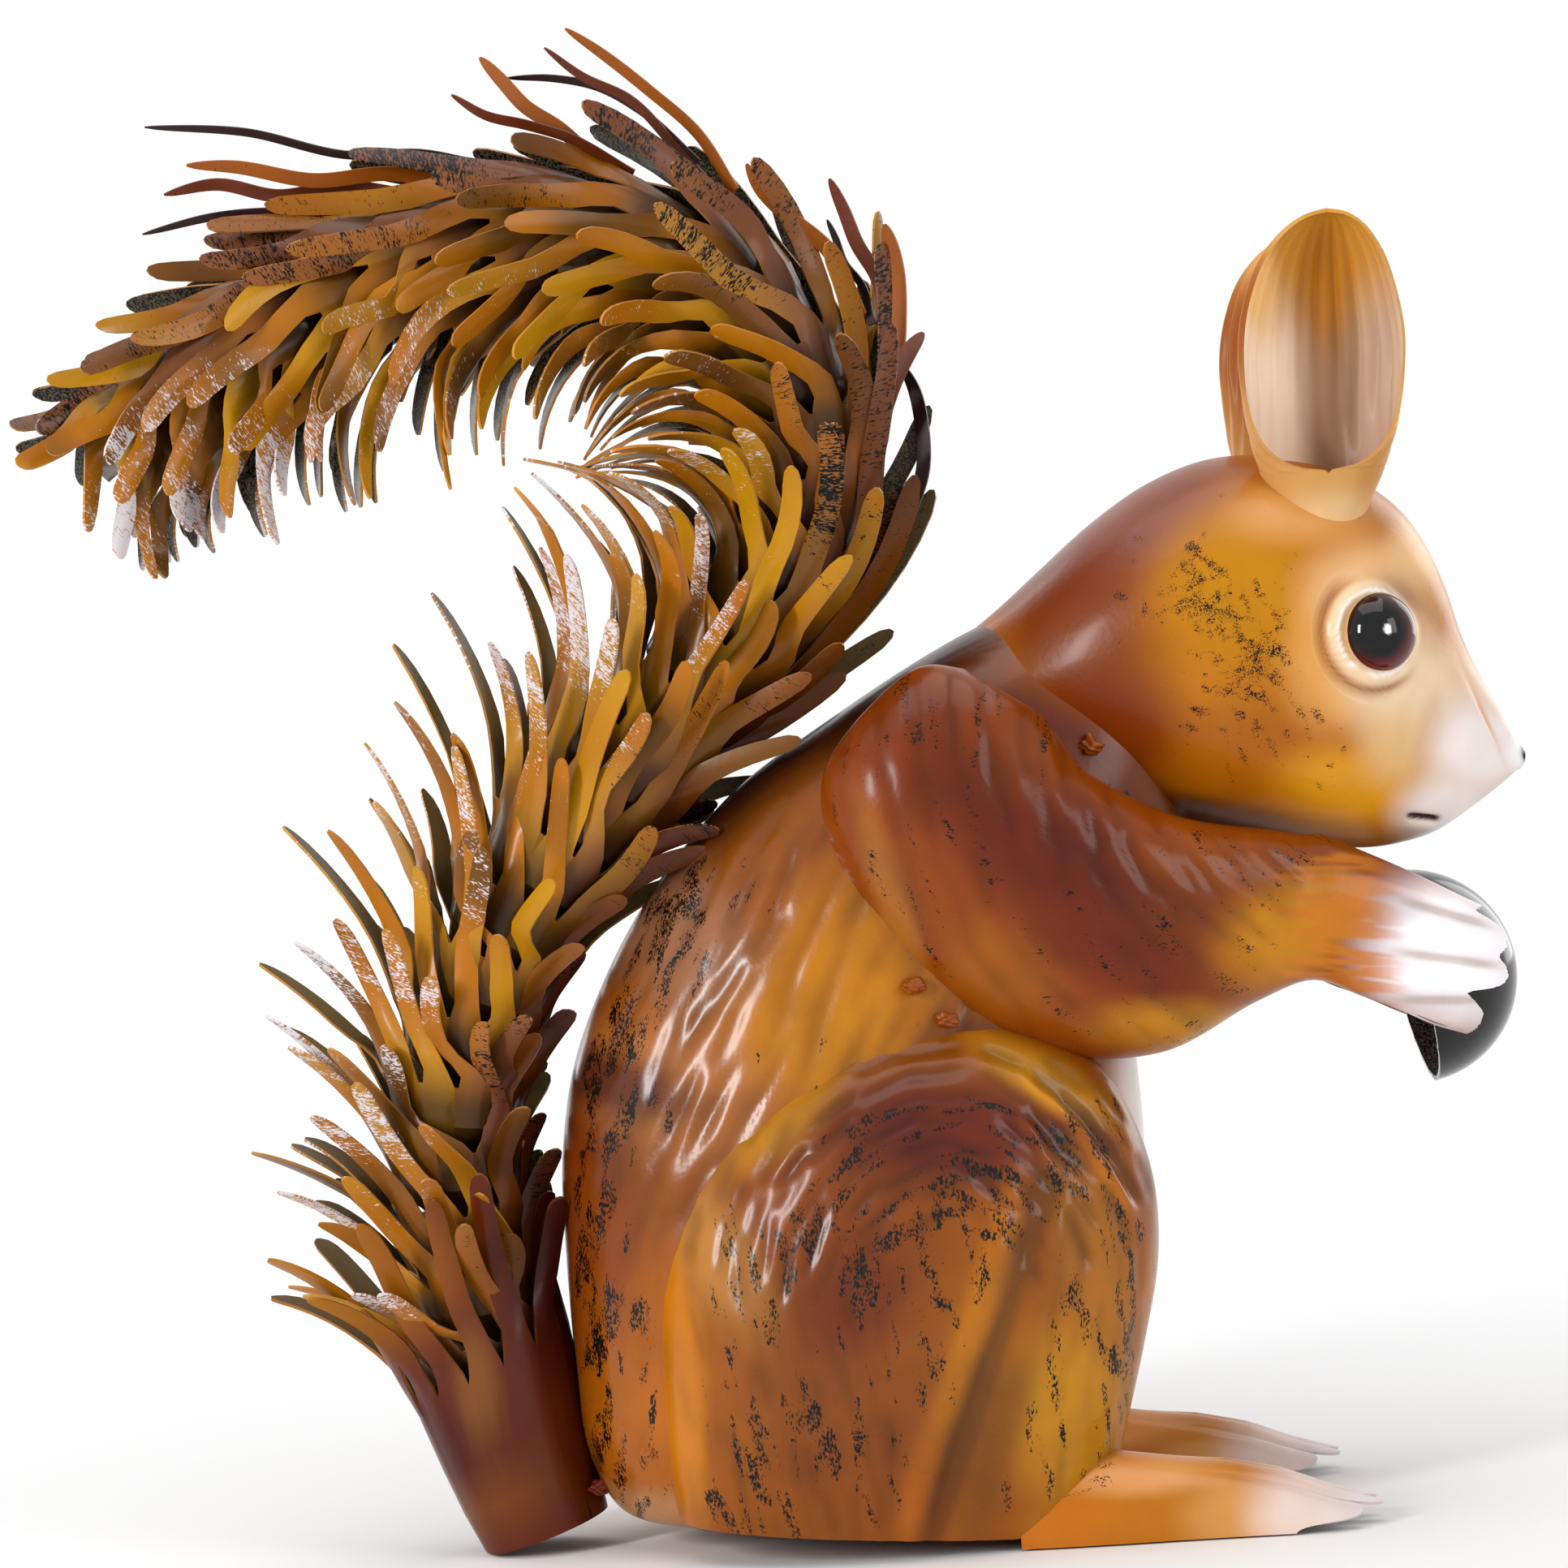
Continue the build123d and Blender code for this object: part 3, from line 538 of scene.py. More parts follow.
def painted_finish(name, rough, coat, colour_layer="paint", dark=(14, 8, 8), light=None, stretch=(1, 1, 1),
                   speck_scale=2600, cloud=0.16, peel=0.15, grain=None, place_layer=None):
    """Sprayed colour with brushed specks under a satin coat, as one material."""
    coated = {"Specular IOR Level": 0.16, "Coat Roughness": 0.16, "Coat Weight": coat}
    finish, tree, shader = new_finish(name, coated)
    sprayed = add_node(tree, "ShaderNodeAttribute", attribute_name=colour_layer)
    where = add_node(tree, "ShaderNodeTexCoord")
    clouds = add_node(tree, "ShaderNodeTexNoise", {"Scale": 60, "Detail": 4})
    cloudy = {"From Min": 0.3, "From Max": 0.7}
    shade = add_node(tree, "ShaderNodeMapRange", {**cloudy, "To Min": 1 - cloud, "To Max": 1 + cloud})
    tinted = add_node(tree, "ShaderNodeVectorMath", operation="SCALE")
    link(
        tree, (where, "Object", clouds, "Vector"), (clouds, "Fac", shade, "Value"),
        (sprayed, "Color", tinted, 0), (shade, "Result", tinted, "Scale"),
    )
    colour = tinted.outputs[0]
    place = where.outputs["Object"]
    if place_layer is not None:
        strip = add_node(tree, "ShaderNodeAttribute", attribute_name=place_layer)
        place = strip.outputs["Vector"]
    for layer, tone in (("brush", dark), ("white_brush", light)):
        if tone is None:
            continue
        mask = add_node(tree, "ShaderNodeAttribute", attribute_name=layer)
        bristle = {"Scale": speck_scale, "Stretch": stretch}
        specks = add_node(tree, "ShaderNodeGroup", bristle, node_tree=dry_brush)
        tree.links.new(place, specks.inputs["Place"])
        link(tree, (mask, "Fac", specks, "Mask"))
        colour = paint_over(tree, colour, tone, specks.outputs["Specks"])
    if grain is not None:
        dust = add_node(tree, "ShaderNodeTexNoise", {"Scale": 2200, "Detail": 2})
        sparkle = add_node(tree, "ShaderNodeMapRange", {"From Min": 0.42, "From Max": 0.62})
        link(tree, (where, "Object", dust, "Vector"), (dust, "Fac", sparkle, "Value"))
        colour = paint_over(tree, colour, grain, sparkle.outputs["Result"])
    tree.links.new(colour, shader.inputs["Base Color"])
    skin = add_node(tree, "ShaderNodeGroup", {"Depth": peel}, node_tree=orange_peel)
    roughness = {**cloudy, "To Min": rough - 0.05, "To Max": rough + 0.07}
    gloss = add_node(tree, "ShaderNodeMapRange", roughness)
    link(
        tree, (skin, "Normal", shader, "Normal"), (clouds, "Fac", gloss, "Value"),
        (gloss, "Result", shader, "Roughness"),
    )
    return finish


torso_lacquer = painted_finish("torso_lacquer", 0.26, 0.28, stretch=(1, 1, 0.5))
haunch_lacquer = painted_finish("haunch_lacquer", 0.27, 0.22, stretch=(1, 1, 0.5))
head_lacquer = painted_finish("head_lacquer", 0.3, 0.1, speck_scale=3600, cloud=0.06)
arm_lacquer = painted_finish("arm_lacquer", 0.28, 0.12, stretch=(0.5, 1, 1))
ear_lacquer = painted_finish("ear_lacquer", 0.5, 0.05, cloud=0.06)
ear_back_lacquer = painted_finish("ear_back_lacquer", 0.45, 0.05, colour_layer="paint_back", cloud=0.1)
foot_lacquer = painted_finish("foot_lacquer", 0.36, 0.2, cloud=0.08)
inside_lacquer = painted_finish("inside_lacquer", 0.55, 0.0, colour_layer="paint_back", grain=(120, 112, 106))
print("finishes:", len(bpy.data.materials))

# %% [markdown]
# The torso is two half eggs welded at the middle. It starts as one ball drawn to thirteen sections, gets its
# embossed fur, and is then cut at the middle plane into the two pressings, each closed where they meet.

# %% Torso form
torso_height, torso_length, torso_half_width, torso_ground_gap = 176, 118, 38.5, 2.6
torso_rows = [
    (0.000, -0.235, 0.370, 0.600), (0.030, -0.352, 0.475, 0.800), (0.095, -0.393, 0.505, 0.930),
    (0.190, -0.403, 0.535, 0.985), (0.305, -0.407, 0.562, 1.000), (0.415, -0.403, 0.568, 0.985),
    (0.520, -0.373, 0.565, 0.945), (0.620, -0.308, 0.588, 0.890), (0.722, -0.208, 0.660, 0.820),
    (0.812, -0.080, 0.705, 0.735), (0.893, 0.105, 0.735, 0.620), (0.962, 0.290, 0.705, 0.440),
    (1.000, 0.420, 0.640, 0.200),
]
torso_sizes = [
    (torso_ground_gap + h * torso_height, back * torso_length, front * torso_length, half * torso_half_width)
    for h, back, front, half in torso_rows
]


def torso_section(along, angle, swell):
    height, back, front, half = smooth_rows(torso_sizes, along).T
    out, rise = squared(angle, 2.15)
    x = (back + front) / 2 + out * (front - back) / 2 * swell
    return np.stack([x, rise * half * swell, height], 1)


torso = shaped_ball("torso", 220, 330, torso_section, 0.05, 0.05)
# embossed fur: rows of grooves that lean up and forwards, from the back to under the arm
torso_strokes = combed((-34, 44), (60, 142), (7.5, 9.5), lambda x, z: 60 - (z - 100) * 0.15, 15, 3.4, -0.62)
torso_strokes += combed((-38, -20), (12, 60), (6.0, 13.0), lambda x, z: 84, 12, 2.6, -0.25)
emboss(torso, torso_strokes)
print("torso faces:", len(torso.data.polygons), "strokes:", len(torso_strokes))

# %% [markdown]
# On the real torso one colour fades into the next, from dark brown on the shoulders over amber sides to a
# nearly white chest. The paint could be an image, but a colour attribute needs no unwrapping and stays on the
# mesh when it is cut. The dry-brushed fur is a mask of short strokes, which the finish breaks into specks.

# %% Torso paint
torso_dabs = [
    (-48, 70, 22, 90, 0, (92, 47, 23), 0.75),
    # dark brown paint along the back, deepened into painted shade where the tail shades the back
    (-10, 150, 54, 17, 40, (48, 23, 15), 0.95),
    (24, 166, 44, 16, 30, (52, 29, 25), 0.95),
    (-22, 120, 18, 26, 40, (146, 104, 79), 0.7),
    (14, 112, 30, 24, 55, (176, 113, 29), 0.9),
    (26, 84, 26, 18, 20, (118, 68, 23), 0.8),
    (4, 96, 20, 26, 60, (188, 124, 35), 0.7),
    (-24, 90, 18, 34, 70, (168, 108, 64), 0.75),
    (-38, 92, 9, 30, 75, (72, 38, 25), 0.8),
    (-32, 30, 22, 40, 0, (172, 99, 27), 0.85),
    (-40, 60, 12, 30, 0, (140, 75, 25), 0.6),
    # a painted reflection of the pale floor, where the torso curves under at the back
    (-34, 7, 26, 9, 0, (188, 140, 100), 0.7),
    (70, 80, 14, 60, 0, (240, 226, 220), 0.95),
    (45, 108, 14, 14, 0, (96, 54, 25), 0.6),
    (36, 94, 16, 8, 0, (72, 38, 21), 0.7),
    (52, 148, 34, 20, -38, (110, 56, 19), 1.0),
]
points = points_of(torso)
colours = spray(points, (140, 81, 29), torso_dabs)
# painted shade in the embossed fur grooves: the colour is darker where the strokes press in
colours *= (1 + 0.45 * np.clip(strokes_at(points, torso_strokes), -0.7, 0.4))[:, None]
keep_colour(torso, "paint", np.clip(colours, 0, 1))
brush_marks = []
for number in range(190):
    z = dice.uniform(6, 132)
    back = np.interp(z, [0, 20, 70, 95, 130], [-44, -47, -47, -43, -26])
    x = back + abs(dice.normal(0, 8)) + 1.5
    lean = 80 - max(0, z - 90) * 0.6 + dice.uniform(-10, 10)
    brush_marks.append((x, z, lean, dice.uniform(4, 12), dice.uniform(0.9, 2.4), dice.uniform(0.45, 0.8)))
for number in range(60):
    part = dice.uniform(0, 1)
    x, z = 34 + 34 * part + dice.uniform(-5, 5), 160 - 26 * part + dice.uniform(-4, 4)
    brush_marks.append((x, z, -40, dice.uniform(2, 5), dice.uniform(0.8, 1.6), dice.uniform(0.4, 0.7)))
for number in range(40):
    x, z = dice.uniform(-20, 30), dice.uniform(80, 130)
    brush_marks.append((x, z, 60, dice.uniform(3, 8), dice.uniform(0.7, 1.4), dice.uniform(0.35, 0.6)))
keep_mask(torso, "brush", np.clip(strokes_at(points, brush_marks), 0, 0.68))
torso.data.materials.append(torso_lacquer)
print("torso brush marks:", len(brush_marks))

# %% [markdown]
# The torso is cut at the middle plane only now, after its relief and its paint, so that both run whole up to
# the weld. The left half is a mirrored copy of the right one, because both are pressed and painted alike.

# %% Torso halves
torso_right = cut_away(torso, (0, 0, 0), (0, 1, 0))
torso_right.name = "torso_pressing_right"
torso_left = copy_of(torso_right, "torso_pressing_left")
mirror_across(torso_left)
for piece, node in ((torso_right, "torso_shell_right"), (torso_left, "torso_shell_left")):
    piece.data.shade_smooth()
    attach(piece, "root")
    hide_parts(node)
    print(piece.name, len(piece.data.polygons))

# %% [markdown]
# The head is an egg along its own axis, which dips towards the nose. The cheeks, the brow, the raised ring
# round each eye and the soft fold beside the muzzle are pressed into it afterwards, as shallow swells and
# hollows placed in the side view.

# %% Head form
head_length, head_half_height, head_half_width = 115, 37.6, 33.5
head_middle, head_dip = np.array([94.6, 0, 165]), math.radians(20)
head_forward = np.array([math.cos(head_dip), 0, -math.sin(head_dip)])
head_up = np.array([math.sin(head_dip), 0, math.cos(head_dip)])
head_rows = [
    (-0.504, -0.500, 0.100, 0.120), (-0.478, -0.490, 0.210, 0.240), (-0.435, -0.465, 0.385, 0.430),
    (-0.391, -0.372, 0.520, 0.590), (-0.330, -0.226, 0.678, 0.740), (-0.261, -0.093, 0.811, 0.860),
    (-0.174, 0.013, 0.918, 0.955), (-0.087, 0.050, 0.985, 1.000), (0.000, 0.074, 1.000, 1.000),
    (0.087, 0.080, 0.973, 0.970), (0.174, 0.048, 0.904, 0.885), (0.226, 0.003, 0.824, 0.785),
    (0.278, -0.066, 0.713, 0.655), (0.330, -0.141, 0.566, 0.520), (0.383, -0.176, 0.420, 0.400),
    (0.430, -0.160, 0.266, 0.280), (0.468, -0.128, 0.138, 0.160), (0.490, -0.112, 0.053, 0.065),
]
head_sizes = [
    (place * head_length, rise * head_half_height, half * head_half_height, wide * head_half_width)
    for place, rise, half, wide in head_rows
]


def head_section(along, angle, swell):
    place, middle, half, wide = smooth_rows(head_sizes, along).T
    out, rise = squared(angle, 2.1)
    blunt = np.where(along > 0.5, 1, -1) * np.cos(swell * math.pi / 2) * 0.8
    spot = head_middle + head_forward * (place + blunt)[:, None]
    spot = spot + head_up * (middle + rise * half * np.sin(swell * math.pi / 2))[:, None]
    spot[:, 1] += out * wide * np.sin(swell * math.pi / 2)
    return spot


print("head sections:", len(head_sizes))

# %% Head relief
def swell_at(points, x, z, long, tall, tilt=0):
    """A soft round swell in the side view, 1 at its middle."""
    c, s = math.cos(math.radians(tilt)), math.sin(math.radians(tilt))
    dx, dz = points[:, 0] - x, points[:, 2] - z
    return np.exp(-(((dx * c + dz * s) / long) ** 2) - (((dz * c - dx * s) / tall) ** 2))


head = shaped_ball("head", 240, 280, head_section, 0.03, 0.03)
points, normals = points_of(head), normals_of(head)
eye_x, eye_y, eye_z, eye_radius, eye_play = 115.4, 26.2, 167.9, 8.0, 0.02
from_eye = np.hypot(points[:, 0] - eye_x + 0.3, (points[:, 2] - eye_z) * 0.94)
behind_eye = smooth_step(eye_x + 3 - points[:, 0] + 0.6 * (eye_z - points[:, 2]), -3, 8)
press = 0.95 * np.exp(-(((from_eye - 7.9) / 1.0) ** 2)) * (0.5 + 0.5 * behind_eye)
press -= 0.95 * np.exp(-(((from_eye - 10.6) / 1.1) ** 2)) * behind_eye
press += 0.45 * np.exp(-(((from_eye - 13.2) / 1.8) ** 2)) * behind_eye
press -= 0.9 * swell_at(points, 122.5, 175.5, 5.0, 3.2, -40)
press += 0.9 * swell_at(points, 112, 145, 13, 9, -20)
press -= 0.9 * swell_at(points, 128, 151, 4.2, 11, -28)
press += 0.7 * swell_at(points, 135, 147, 6, 7)
press -= 0.55 * swell_at(points, 127, 171, 3.2, 9, 35)
press -= 0.75 * swell_at(points, 138.4, 150.5, 0.9, 7.5, 22)
press += 0.45 * swell_at(points, 141.2, 151.5, 1.6, 6, 22)
mouth_x, mouth_z, mouth_half = 124.6, 131.9, 3.4
mouth_along = (points[:, 0] - mouth_x) * 0.985 - (points[:, 2] - mouth_z) * 0.17
mouth_off = (points[:, 2] - mouth_z) * 0.985 + (points[:, 0] - mouth_x) * 0.17
mouth_slit = np.exp(-((mouth_along / mouth_half) ** 8)) * np.exp(-((mouth_off / 0.55) ** 4))
press -= 0.7 * np.exp(-((mouth_along / mouth_half) ** 4)) * np.exp(-((mouth_off / 0.7) ** 2))
press += 0.35 * np.exp(-((mouth_along / 4.2) ** 4)) * np.exp(-(((mouth_off + 1.9) / 1.1) ** 2))
facing = smooth_step(np.abs(normals[:, 1]), 0.08, 0.4)
put_points(head, points + normals * (press * facing)[:, None])
print("head faces:", len(head.data.polygons))

# %% [markdown]
# The head fades from brown at the neck to a nearly white muzzle. A pale ring frames each eye, with painted
# shade in the crease behind it and a bright line on the lid, and the mouth and the nose are touched in dark.
# Rings and creases are worked out from the distance to the eye, so that they follow the embossed lids.

# %% Head paint
head_dabs = [
    (72, 196, 44, 20, 40, (126, 74, 62), 0.95),
    (58, 172, 22, 34, 20, (112, 56, 38), 0.85),
    (64, 152, 24, 16, -20, (120, 58, 20), 0.85),
    (90, 178, 21, 22, 30, (184, 126, 28), 0.85),
    (96, 146, 28, 14, -8, (166, 96, 18), 0.85),
    # painted shade along the underside of the jaw
    (82, 135, 26, 5, -12, (70, 34, 14), 0.7),
    (110, 139, 22, 11, -8, (228, 160, 50), 0.8),
    (107, 162, 14, 18, 0, (226, 166, 96), 0.8),
    (104, 192, 20, 9, 0, (214, 158, 96), 0.75),
    (116, 176, 20, 14, 0, (232, 186, 138), 0.85),
    (122, 157, 20, 17, -20, (240, 212, 176), 0.95),
    (120, 146, 13, 11, 0, (232, 190, 134), 0.75),
    (126, 184, 9, 12, -40, (236, 190, 138), 0.8),
    (131, 187, 4, 24, 34, (222, 138, 28), 0.85),
    (126, 147, 5, 13, -14, (206, 156, 108), 0.75),
    (137, 145, 17, 16, 0, (238, 226, 222), 1.0),
    (129, 133, 15, 10, 0, (238, 226, 220), 0.95),
    (138, 157, 7, 10, 35, (236, 212, 192), 0.6),
    (146, 143, 5, 6, 0, (246, 244, 246), 0.9),
]
points = points_of(head)
colours = spray(points, (180, 112, 26), head_dabs)
sideways = smooth_step(np.abs(points[:, 1]), 6, 14)
pale = 0.85 * np.exp(-(((from_eye - 8.3) / 1.35) ** 4)) * sideways
colours = lay_on(colours, (240, 212, 176), pale)
# painted shade in the pressed crease behind the eye ring
crease = 0.8 * np.exp(-(((from_eye - 10.4) / 0.8) ** 2)) * behind_eye * sideways
colours = lay_on(colours, (150, 88, 30), crease)
brow_shade = 0.75 * swell_at(points, 122.0, 174.5, 5.5, 3.0, -40) * (from_eye > 7.4) * sideways
colours = lay_on(colours, (150, 112, 88), brow_shade)
lid = np.exp(-(((from_eye - 7.6) / 0.35) ** 4)) * sideways
colours = lay_on(colours, (250, 244, 236), lid)
colours = lay_on(colours, (66, 26, 20), 1.5 * mouth_slit * smooth_step(np.abs(points[:, 1]), 2, 5))
colours = lay_on(colours, (14, 12, 14), 2.2 * swell_at(points, 147.2, 142.4, 0.9, 2.2, 20))
colours = lay_on(colours, (214, 150, 96), 0.75 * swell_at(points, 138.0, 150.5, 0.6, 7, 22))
keep_colour(head, "paint", np.clip(colours, 0, 1))
head_marks = []
for number in range(200):
    x, z = 90 + dice.normal(0, 12), 164 + dice.normal(0, 13)
    x = x + (164 - z) * 0.35
    far = math.hypot((x - 92) / 24, (z - 160) / 28)
    depth = max(0.15, 0.66 - 0.3 * far) * dice.uniform(0.7, 1.15)
    lean, long, wide = -50 + dice.uniform(-25, 25), dice.uniform(3, 8), dice.uniform(1.6, 3.6)
    for shift in (-3.4, 0.0, 3.4):
        head_marks.append((x + 0.7 * shift, z + shift, lean, 0.6 * long, 0.42 * wide, depth))
for number in range(60):
    x, z = 80 + dice.normal(0, 9), 182 + dice.normal(0, 7)
    head_marks.append((x, z, -30, dice.uniform(3, 6), dice.uniform(1.5, 3), dice.uniform(0.2, 0.45)))
away_from_eye = smooth_step(from_eye, 13, 18)
keep_mask(head, "brush", np.clip(strokes_at(points, head_marks) * 0.8, 0, 0.62) * away_from_eye)
head.data.materials.append(head_lacquer)
head_right = cut_away(head, (0, 0, 0), (0, 1, 0))
head_right.name = "head_pressing_right"
head_left = copy_of(head_right, "head_pressing_left")
mirror_across(head_left)
for piece, node in ((head_right, "head_shell_right"), (head_left, "head_shell_left")):
    piece.data.shade_smooth()
    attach(piece, "root")
    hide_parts(node)
    print(piece.name, len(piece.data.polygons))

# %% [markdown]
# The eyes are balls of high gloss black. A little dark red-brown is sprayed at the lower front, as an iris
# that catches light, and one small white dot is a painted highlight: a glint that is part of the colour and
# not a lamp's reflection.

# %% Eyes
eye_lacquer, tree, shader = new_finish(
    "eye_lacquer", {"Specular IOR Level": 0.2, "Coat Weight": 0.25, "Coat Roughness": 0.02}
)
sprayed = add_node(tree, "ShaderNodeAttribute", attribute_name="paint")
where = add_node(tree, "ShaderNodeTexCoord")
haze = add_node(tree, "ShaderNodeTexNoise", {"Scale": 160})
smear = add_node(tree, "ShaderNodeMapRange", {"To Min": 0.05, "To Max": 0.14})
link(
    tree, (sprayed, "Color", shader, "Base Color"), (where, "Object", haze, "Vector"),
    (haze, "Fac", smear, "Value"), (smear, "Result", shader, "Roughness"),
)
dot_x, dot_z = 116.9, 168.3
for side, name, node in ((-1, "eye_ball_right", "eye_right"), (1, "eye_ball_left", "eye_left")):
    deselect_all()
    bpy.ops.mesh.primitive_uv_sphere_add(segments=128, ring_count=80, radius=1)
    eye = bpy.context.object
    eye.name = name
    ball = points_of(eye) / 1000 * (eye_radius - eye_play)
    put_points(eye, ball + np.array([eye_x, side * eye_y, eye_z]))
    points = points_of(eye)
    colours = np.tile(lacquer_mix(12, 9, 12), (len(points), 1))
    rim = np.hypot(points[:, 0] - eye_x, points[:, 2] - eye_z)
    low_front = smooth_step((points[:, 0] - eye_x) * 0.55 - (points[:, 2] - eye_z) * 0.85, -1.5, 5)
    glow = (smooth_step(rim, 4.2, 6.4) * (0.25 + 0.75 * low_front))[:, None]
    colours = colours * (1 - glow) + lacquer_mix(96, 34, 18) * glow
    # the white dot is a painted highlight, a glint on the ball
    off_dot = np.hypot((points[:, 0] - dot_x) / 0.8, (points[:, 2] - dot_z) / 1.1)
    dot = np.clip(4 * (1 - off_dot), 0, 1)[:, None]
    colours = colours * (1 - dot) + lacquer_mix(255, 255, 255) * dot
    keep_colour(eye, "paint", colours)
    eye.data.materials.append(eye_lacquer)
    eye.data.shade_smooth()
    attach(eye, "root")
    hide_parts(node)
    print(name, [round(v, 1) for v in points.mean(0)])

# %% [markdown]
# The haunch is a dished pressing that wraps on to the side of the torso. Fur grooves follow its upper arc, a
# broad crease runs down its middle, and a row of short ones spreads over the knee. It is cut off level with
# the sole, a little slanted, and gets the thickness of its sheet there.

# %% Haunch form
haunch_height, haunch_length, haunch_half_width, haunch_out = 101, 98, 29.5, 20
haunch_foot, pressing_sheet = 4.8, 0.7
haunch_rows = [
    (0.000, -0.262, 0.525, 0.740), (0.075, -0.290, 0.560, 0.850), (0.195, -0.311, 0.597, 0.940),
    (0.350, -0.317, 0.643, 0.990), (0.505, -0.308, 0.680, 1.000), (0.645, -0.268, 0.683, 0.975),
    (0.780, -0.188, 0.648, 0.890), (0.885, -0.060, 0.585, 0.730), (0.960, 0.075, 0.500, 0.500),
    (1.000, 0.205, 0.400, 0.230),
]
haunch_sizes = [
    (h * haunch_height, back * haunch_length, front * haunch_length, half * haunch_half_width)
    for h, back, front, half in haunch_rows
]


def haunch_section(along, angle, swell):
    height, back, front, half = smooth_rows(haunch_sizes, along).T
    out, rise = squared(angle, 2.25)
    x = (back + front) / 2 + out * (front - back) / 2 * swell
    return np.stack([x, -haunch_out + rise * half * swell, height], 1)


print("haunch sections:", len(haunch_sizes))

# %% Haunch relief
haunch = shaped_ball("haunch", 186, 300, haunch_section, 0.01, 0.05)
haunch_strokes = []
for number, far in enumerate(np.arange(19, 49, 4.2)):
    for turn in np.arange(28 + 7 * (number % 2), 172, math.degrees(11.5 / far)):
        here = math.radians(turn + dice.uniform(-3, 3))
        far_here = far + dice.uniform(-1.2, 1.2)
        lean = turn - 90 + (10 if turn > 80 else -12) + dice.uniform(-6, 6)
        spot = (25 + far_here * math.cos(here) * 1.02, 46 + far_here * math.sin(here))
        depth = -dice.uniform(0.3, 0.75)
        haunch_strokes.append((*spot, lean, dice.uniform(9, 15), dice.uniform(2.4, 3.4), depth))
haunch_strokes += combed((-24, 14), (10, 48), (5.0, 11.0), lambda x, z: 96 - x * 0.15, 11, 2.4, -0.36)
haunch_strokes += combed((44, 66), (16, 56), (5.0, 12.0), lambda x, z: 84, 11, 2.4, -0.34)
knee_tufts = ((50, 80, -58, 15), (54, 74, -62, 16), (58, 68, -66, 14), (46, 84, -50, 12), (44, 76, -60, 13))
for x, z, lean, long in knee_tufts:
    haunch_strokes.append((x, z, lean, long, 2.2, 0.9))
    haunch_strokes.append((x + 2.2, z + 1.4, lean, long, 2.4, -0.7))
# one long wedge crease from under the knee down to the sole
haunch_strokes += [
    (32.0, 37, 68.5, 74, 5.0, -1.3), (27.0, 38, 68.8, 70, 5.0, 0.9), (37, 52, 62, 30, 5, 0.6),
    (44, 62, 60, 18, 3.5, -0.5), (22, 14, 78, 24, 4, -0.5), (17, 14, 80, 24, 3.4, 0.4),
    (12, 16, 84, 22, 3.4, -0.4),
]
emboss(haunch, haunch_strokes, 0.35)
print("haunch faces:", len(haunch.data.polygons), "strokes:", len(haunch_strokes))

# %% [markdown]
# The haunch is darkest under its upper arc and yellower at the knee and the sole. Its brush marks run up and
# down the thigh, fan out along the arc and stand thick over the knee, and the long crease is left clear.

# %% Haunch paint
haunch_dabs = [
    (4, 66, 34, 30, 40, (122, 67, 31), 0.85),
    (28, 80, 36, 16, -8, (92, 46, 17), 0.9),
    (-4, 84, 22, 8, 38, (186, 129, 46), 0.75),
    (-20, 62, 12, 30, 30, (184, 129, 69), 0.7),
    (-26, 34, 7, 44, 0, (194, 120, 29), 0.85),
    (6, 26, 26, 34, 0, (124, 71, 40), 0.8),
    (8, 50, 20, 14, 40, (96, 51, 21), 0.7),
    (48, 24, 18, 28, 0, (196, 138, 27), 0.85),
    (30, 40, 9, 36, -20, (150, 97, 35), 0.7),
    # painted shade along the valley of the long crease
    (33, 22, 6, 30, -20, (104, 71, 25), 0.5),
    (54, 52, 12, 30, 10, (170, 110, 46), 0.75),
    (66, 34, 5, 26, 0, (206, 129, 31), 0.85),
    (69, 52, 4, 40, 0, (226, 176, 110), 0.45),
    (46, 88, 24, 6, -34, (198, 140, 52), 0.75),
    (50, 4, 20, 6, 0, (176, 120, 23), 0.8),
]
points = points_of(haunch)
colours = spray(points, (146, 85, 29), haunch_dabs)
# painted shade in the embossed grooves and painted light on the raised tufts and ridges
colours *= (1 + 0.6 * np.clip(strokes_at(points, haunch_strokes), -0.8, 0.6))[:, None]
keep_colour(haunch, "paint", np.clip(colours, 0, 1))
haunch_marks = []
for number in range(230):
    x, z = dice.uniform(-22, 64), dice.uniform(6, 66)
    if 22 < x - (z - 20) * 0.35 < 36 and z < 62:
        continue
    lean = 97 + dice.uniform(-6, 6) - (x - 20) * 0.12
    haunch_marks.append((x, z, lean, dice.uniform(5, 12), dice.uniform(0.9, 2.0), dice.uniform(0.42, 0.85)))
for number in range(110):
    turn, far = dice.uniform(40, 160), dice.uniform(16, 40)
    x, z = 25 + far * math.cos(math.radians(turn)), 46 + far * math.sin(math.radians(turn))
    lean = turn - (80 if turn > 80 else 102)
    haunch_marks.append((x, z, lean, dice.uniform(5, 12), dice.uniform(0.8, 1.8), dice.uniform(0.4, 0.8)))
for number in range(44):
    x, z = dice.uniform(46, 66), dice.uniform(34, 84)
    lean = 100 + (z - 60) * 0.6
    haunch_marks.append((x, z, lean, dice.uniform(4, 9), dice.uniform(1.0, 2.0), dice.uniform(0.5, 0.85)))
side_on = smooth_step(np.abs(normals_of(haunch)[:, 1]), 0.12, 0.4)
keep_mask(haunch, "brush", np.clip(strokes_at(points, haunch_marks), 0, 0.66) * side_on)
haunch.data.materials.append(haunch_lacquer)
haunch.data.materials.append(inside_lacquer)
keep_colour(haunch, "paint_back", np.tile(lacquer_mix(70, 40, 28), (len(points), 1)))
haunch_right = cut_away(haunch, (0, 0, 0), (0, 1, 0), fill=False)
rim_tilt = math.radians(4.5)
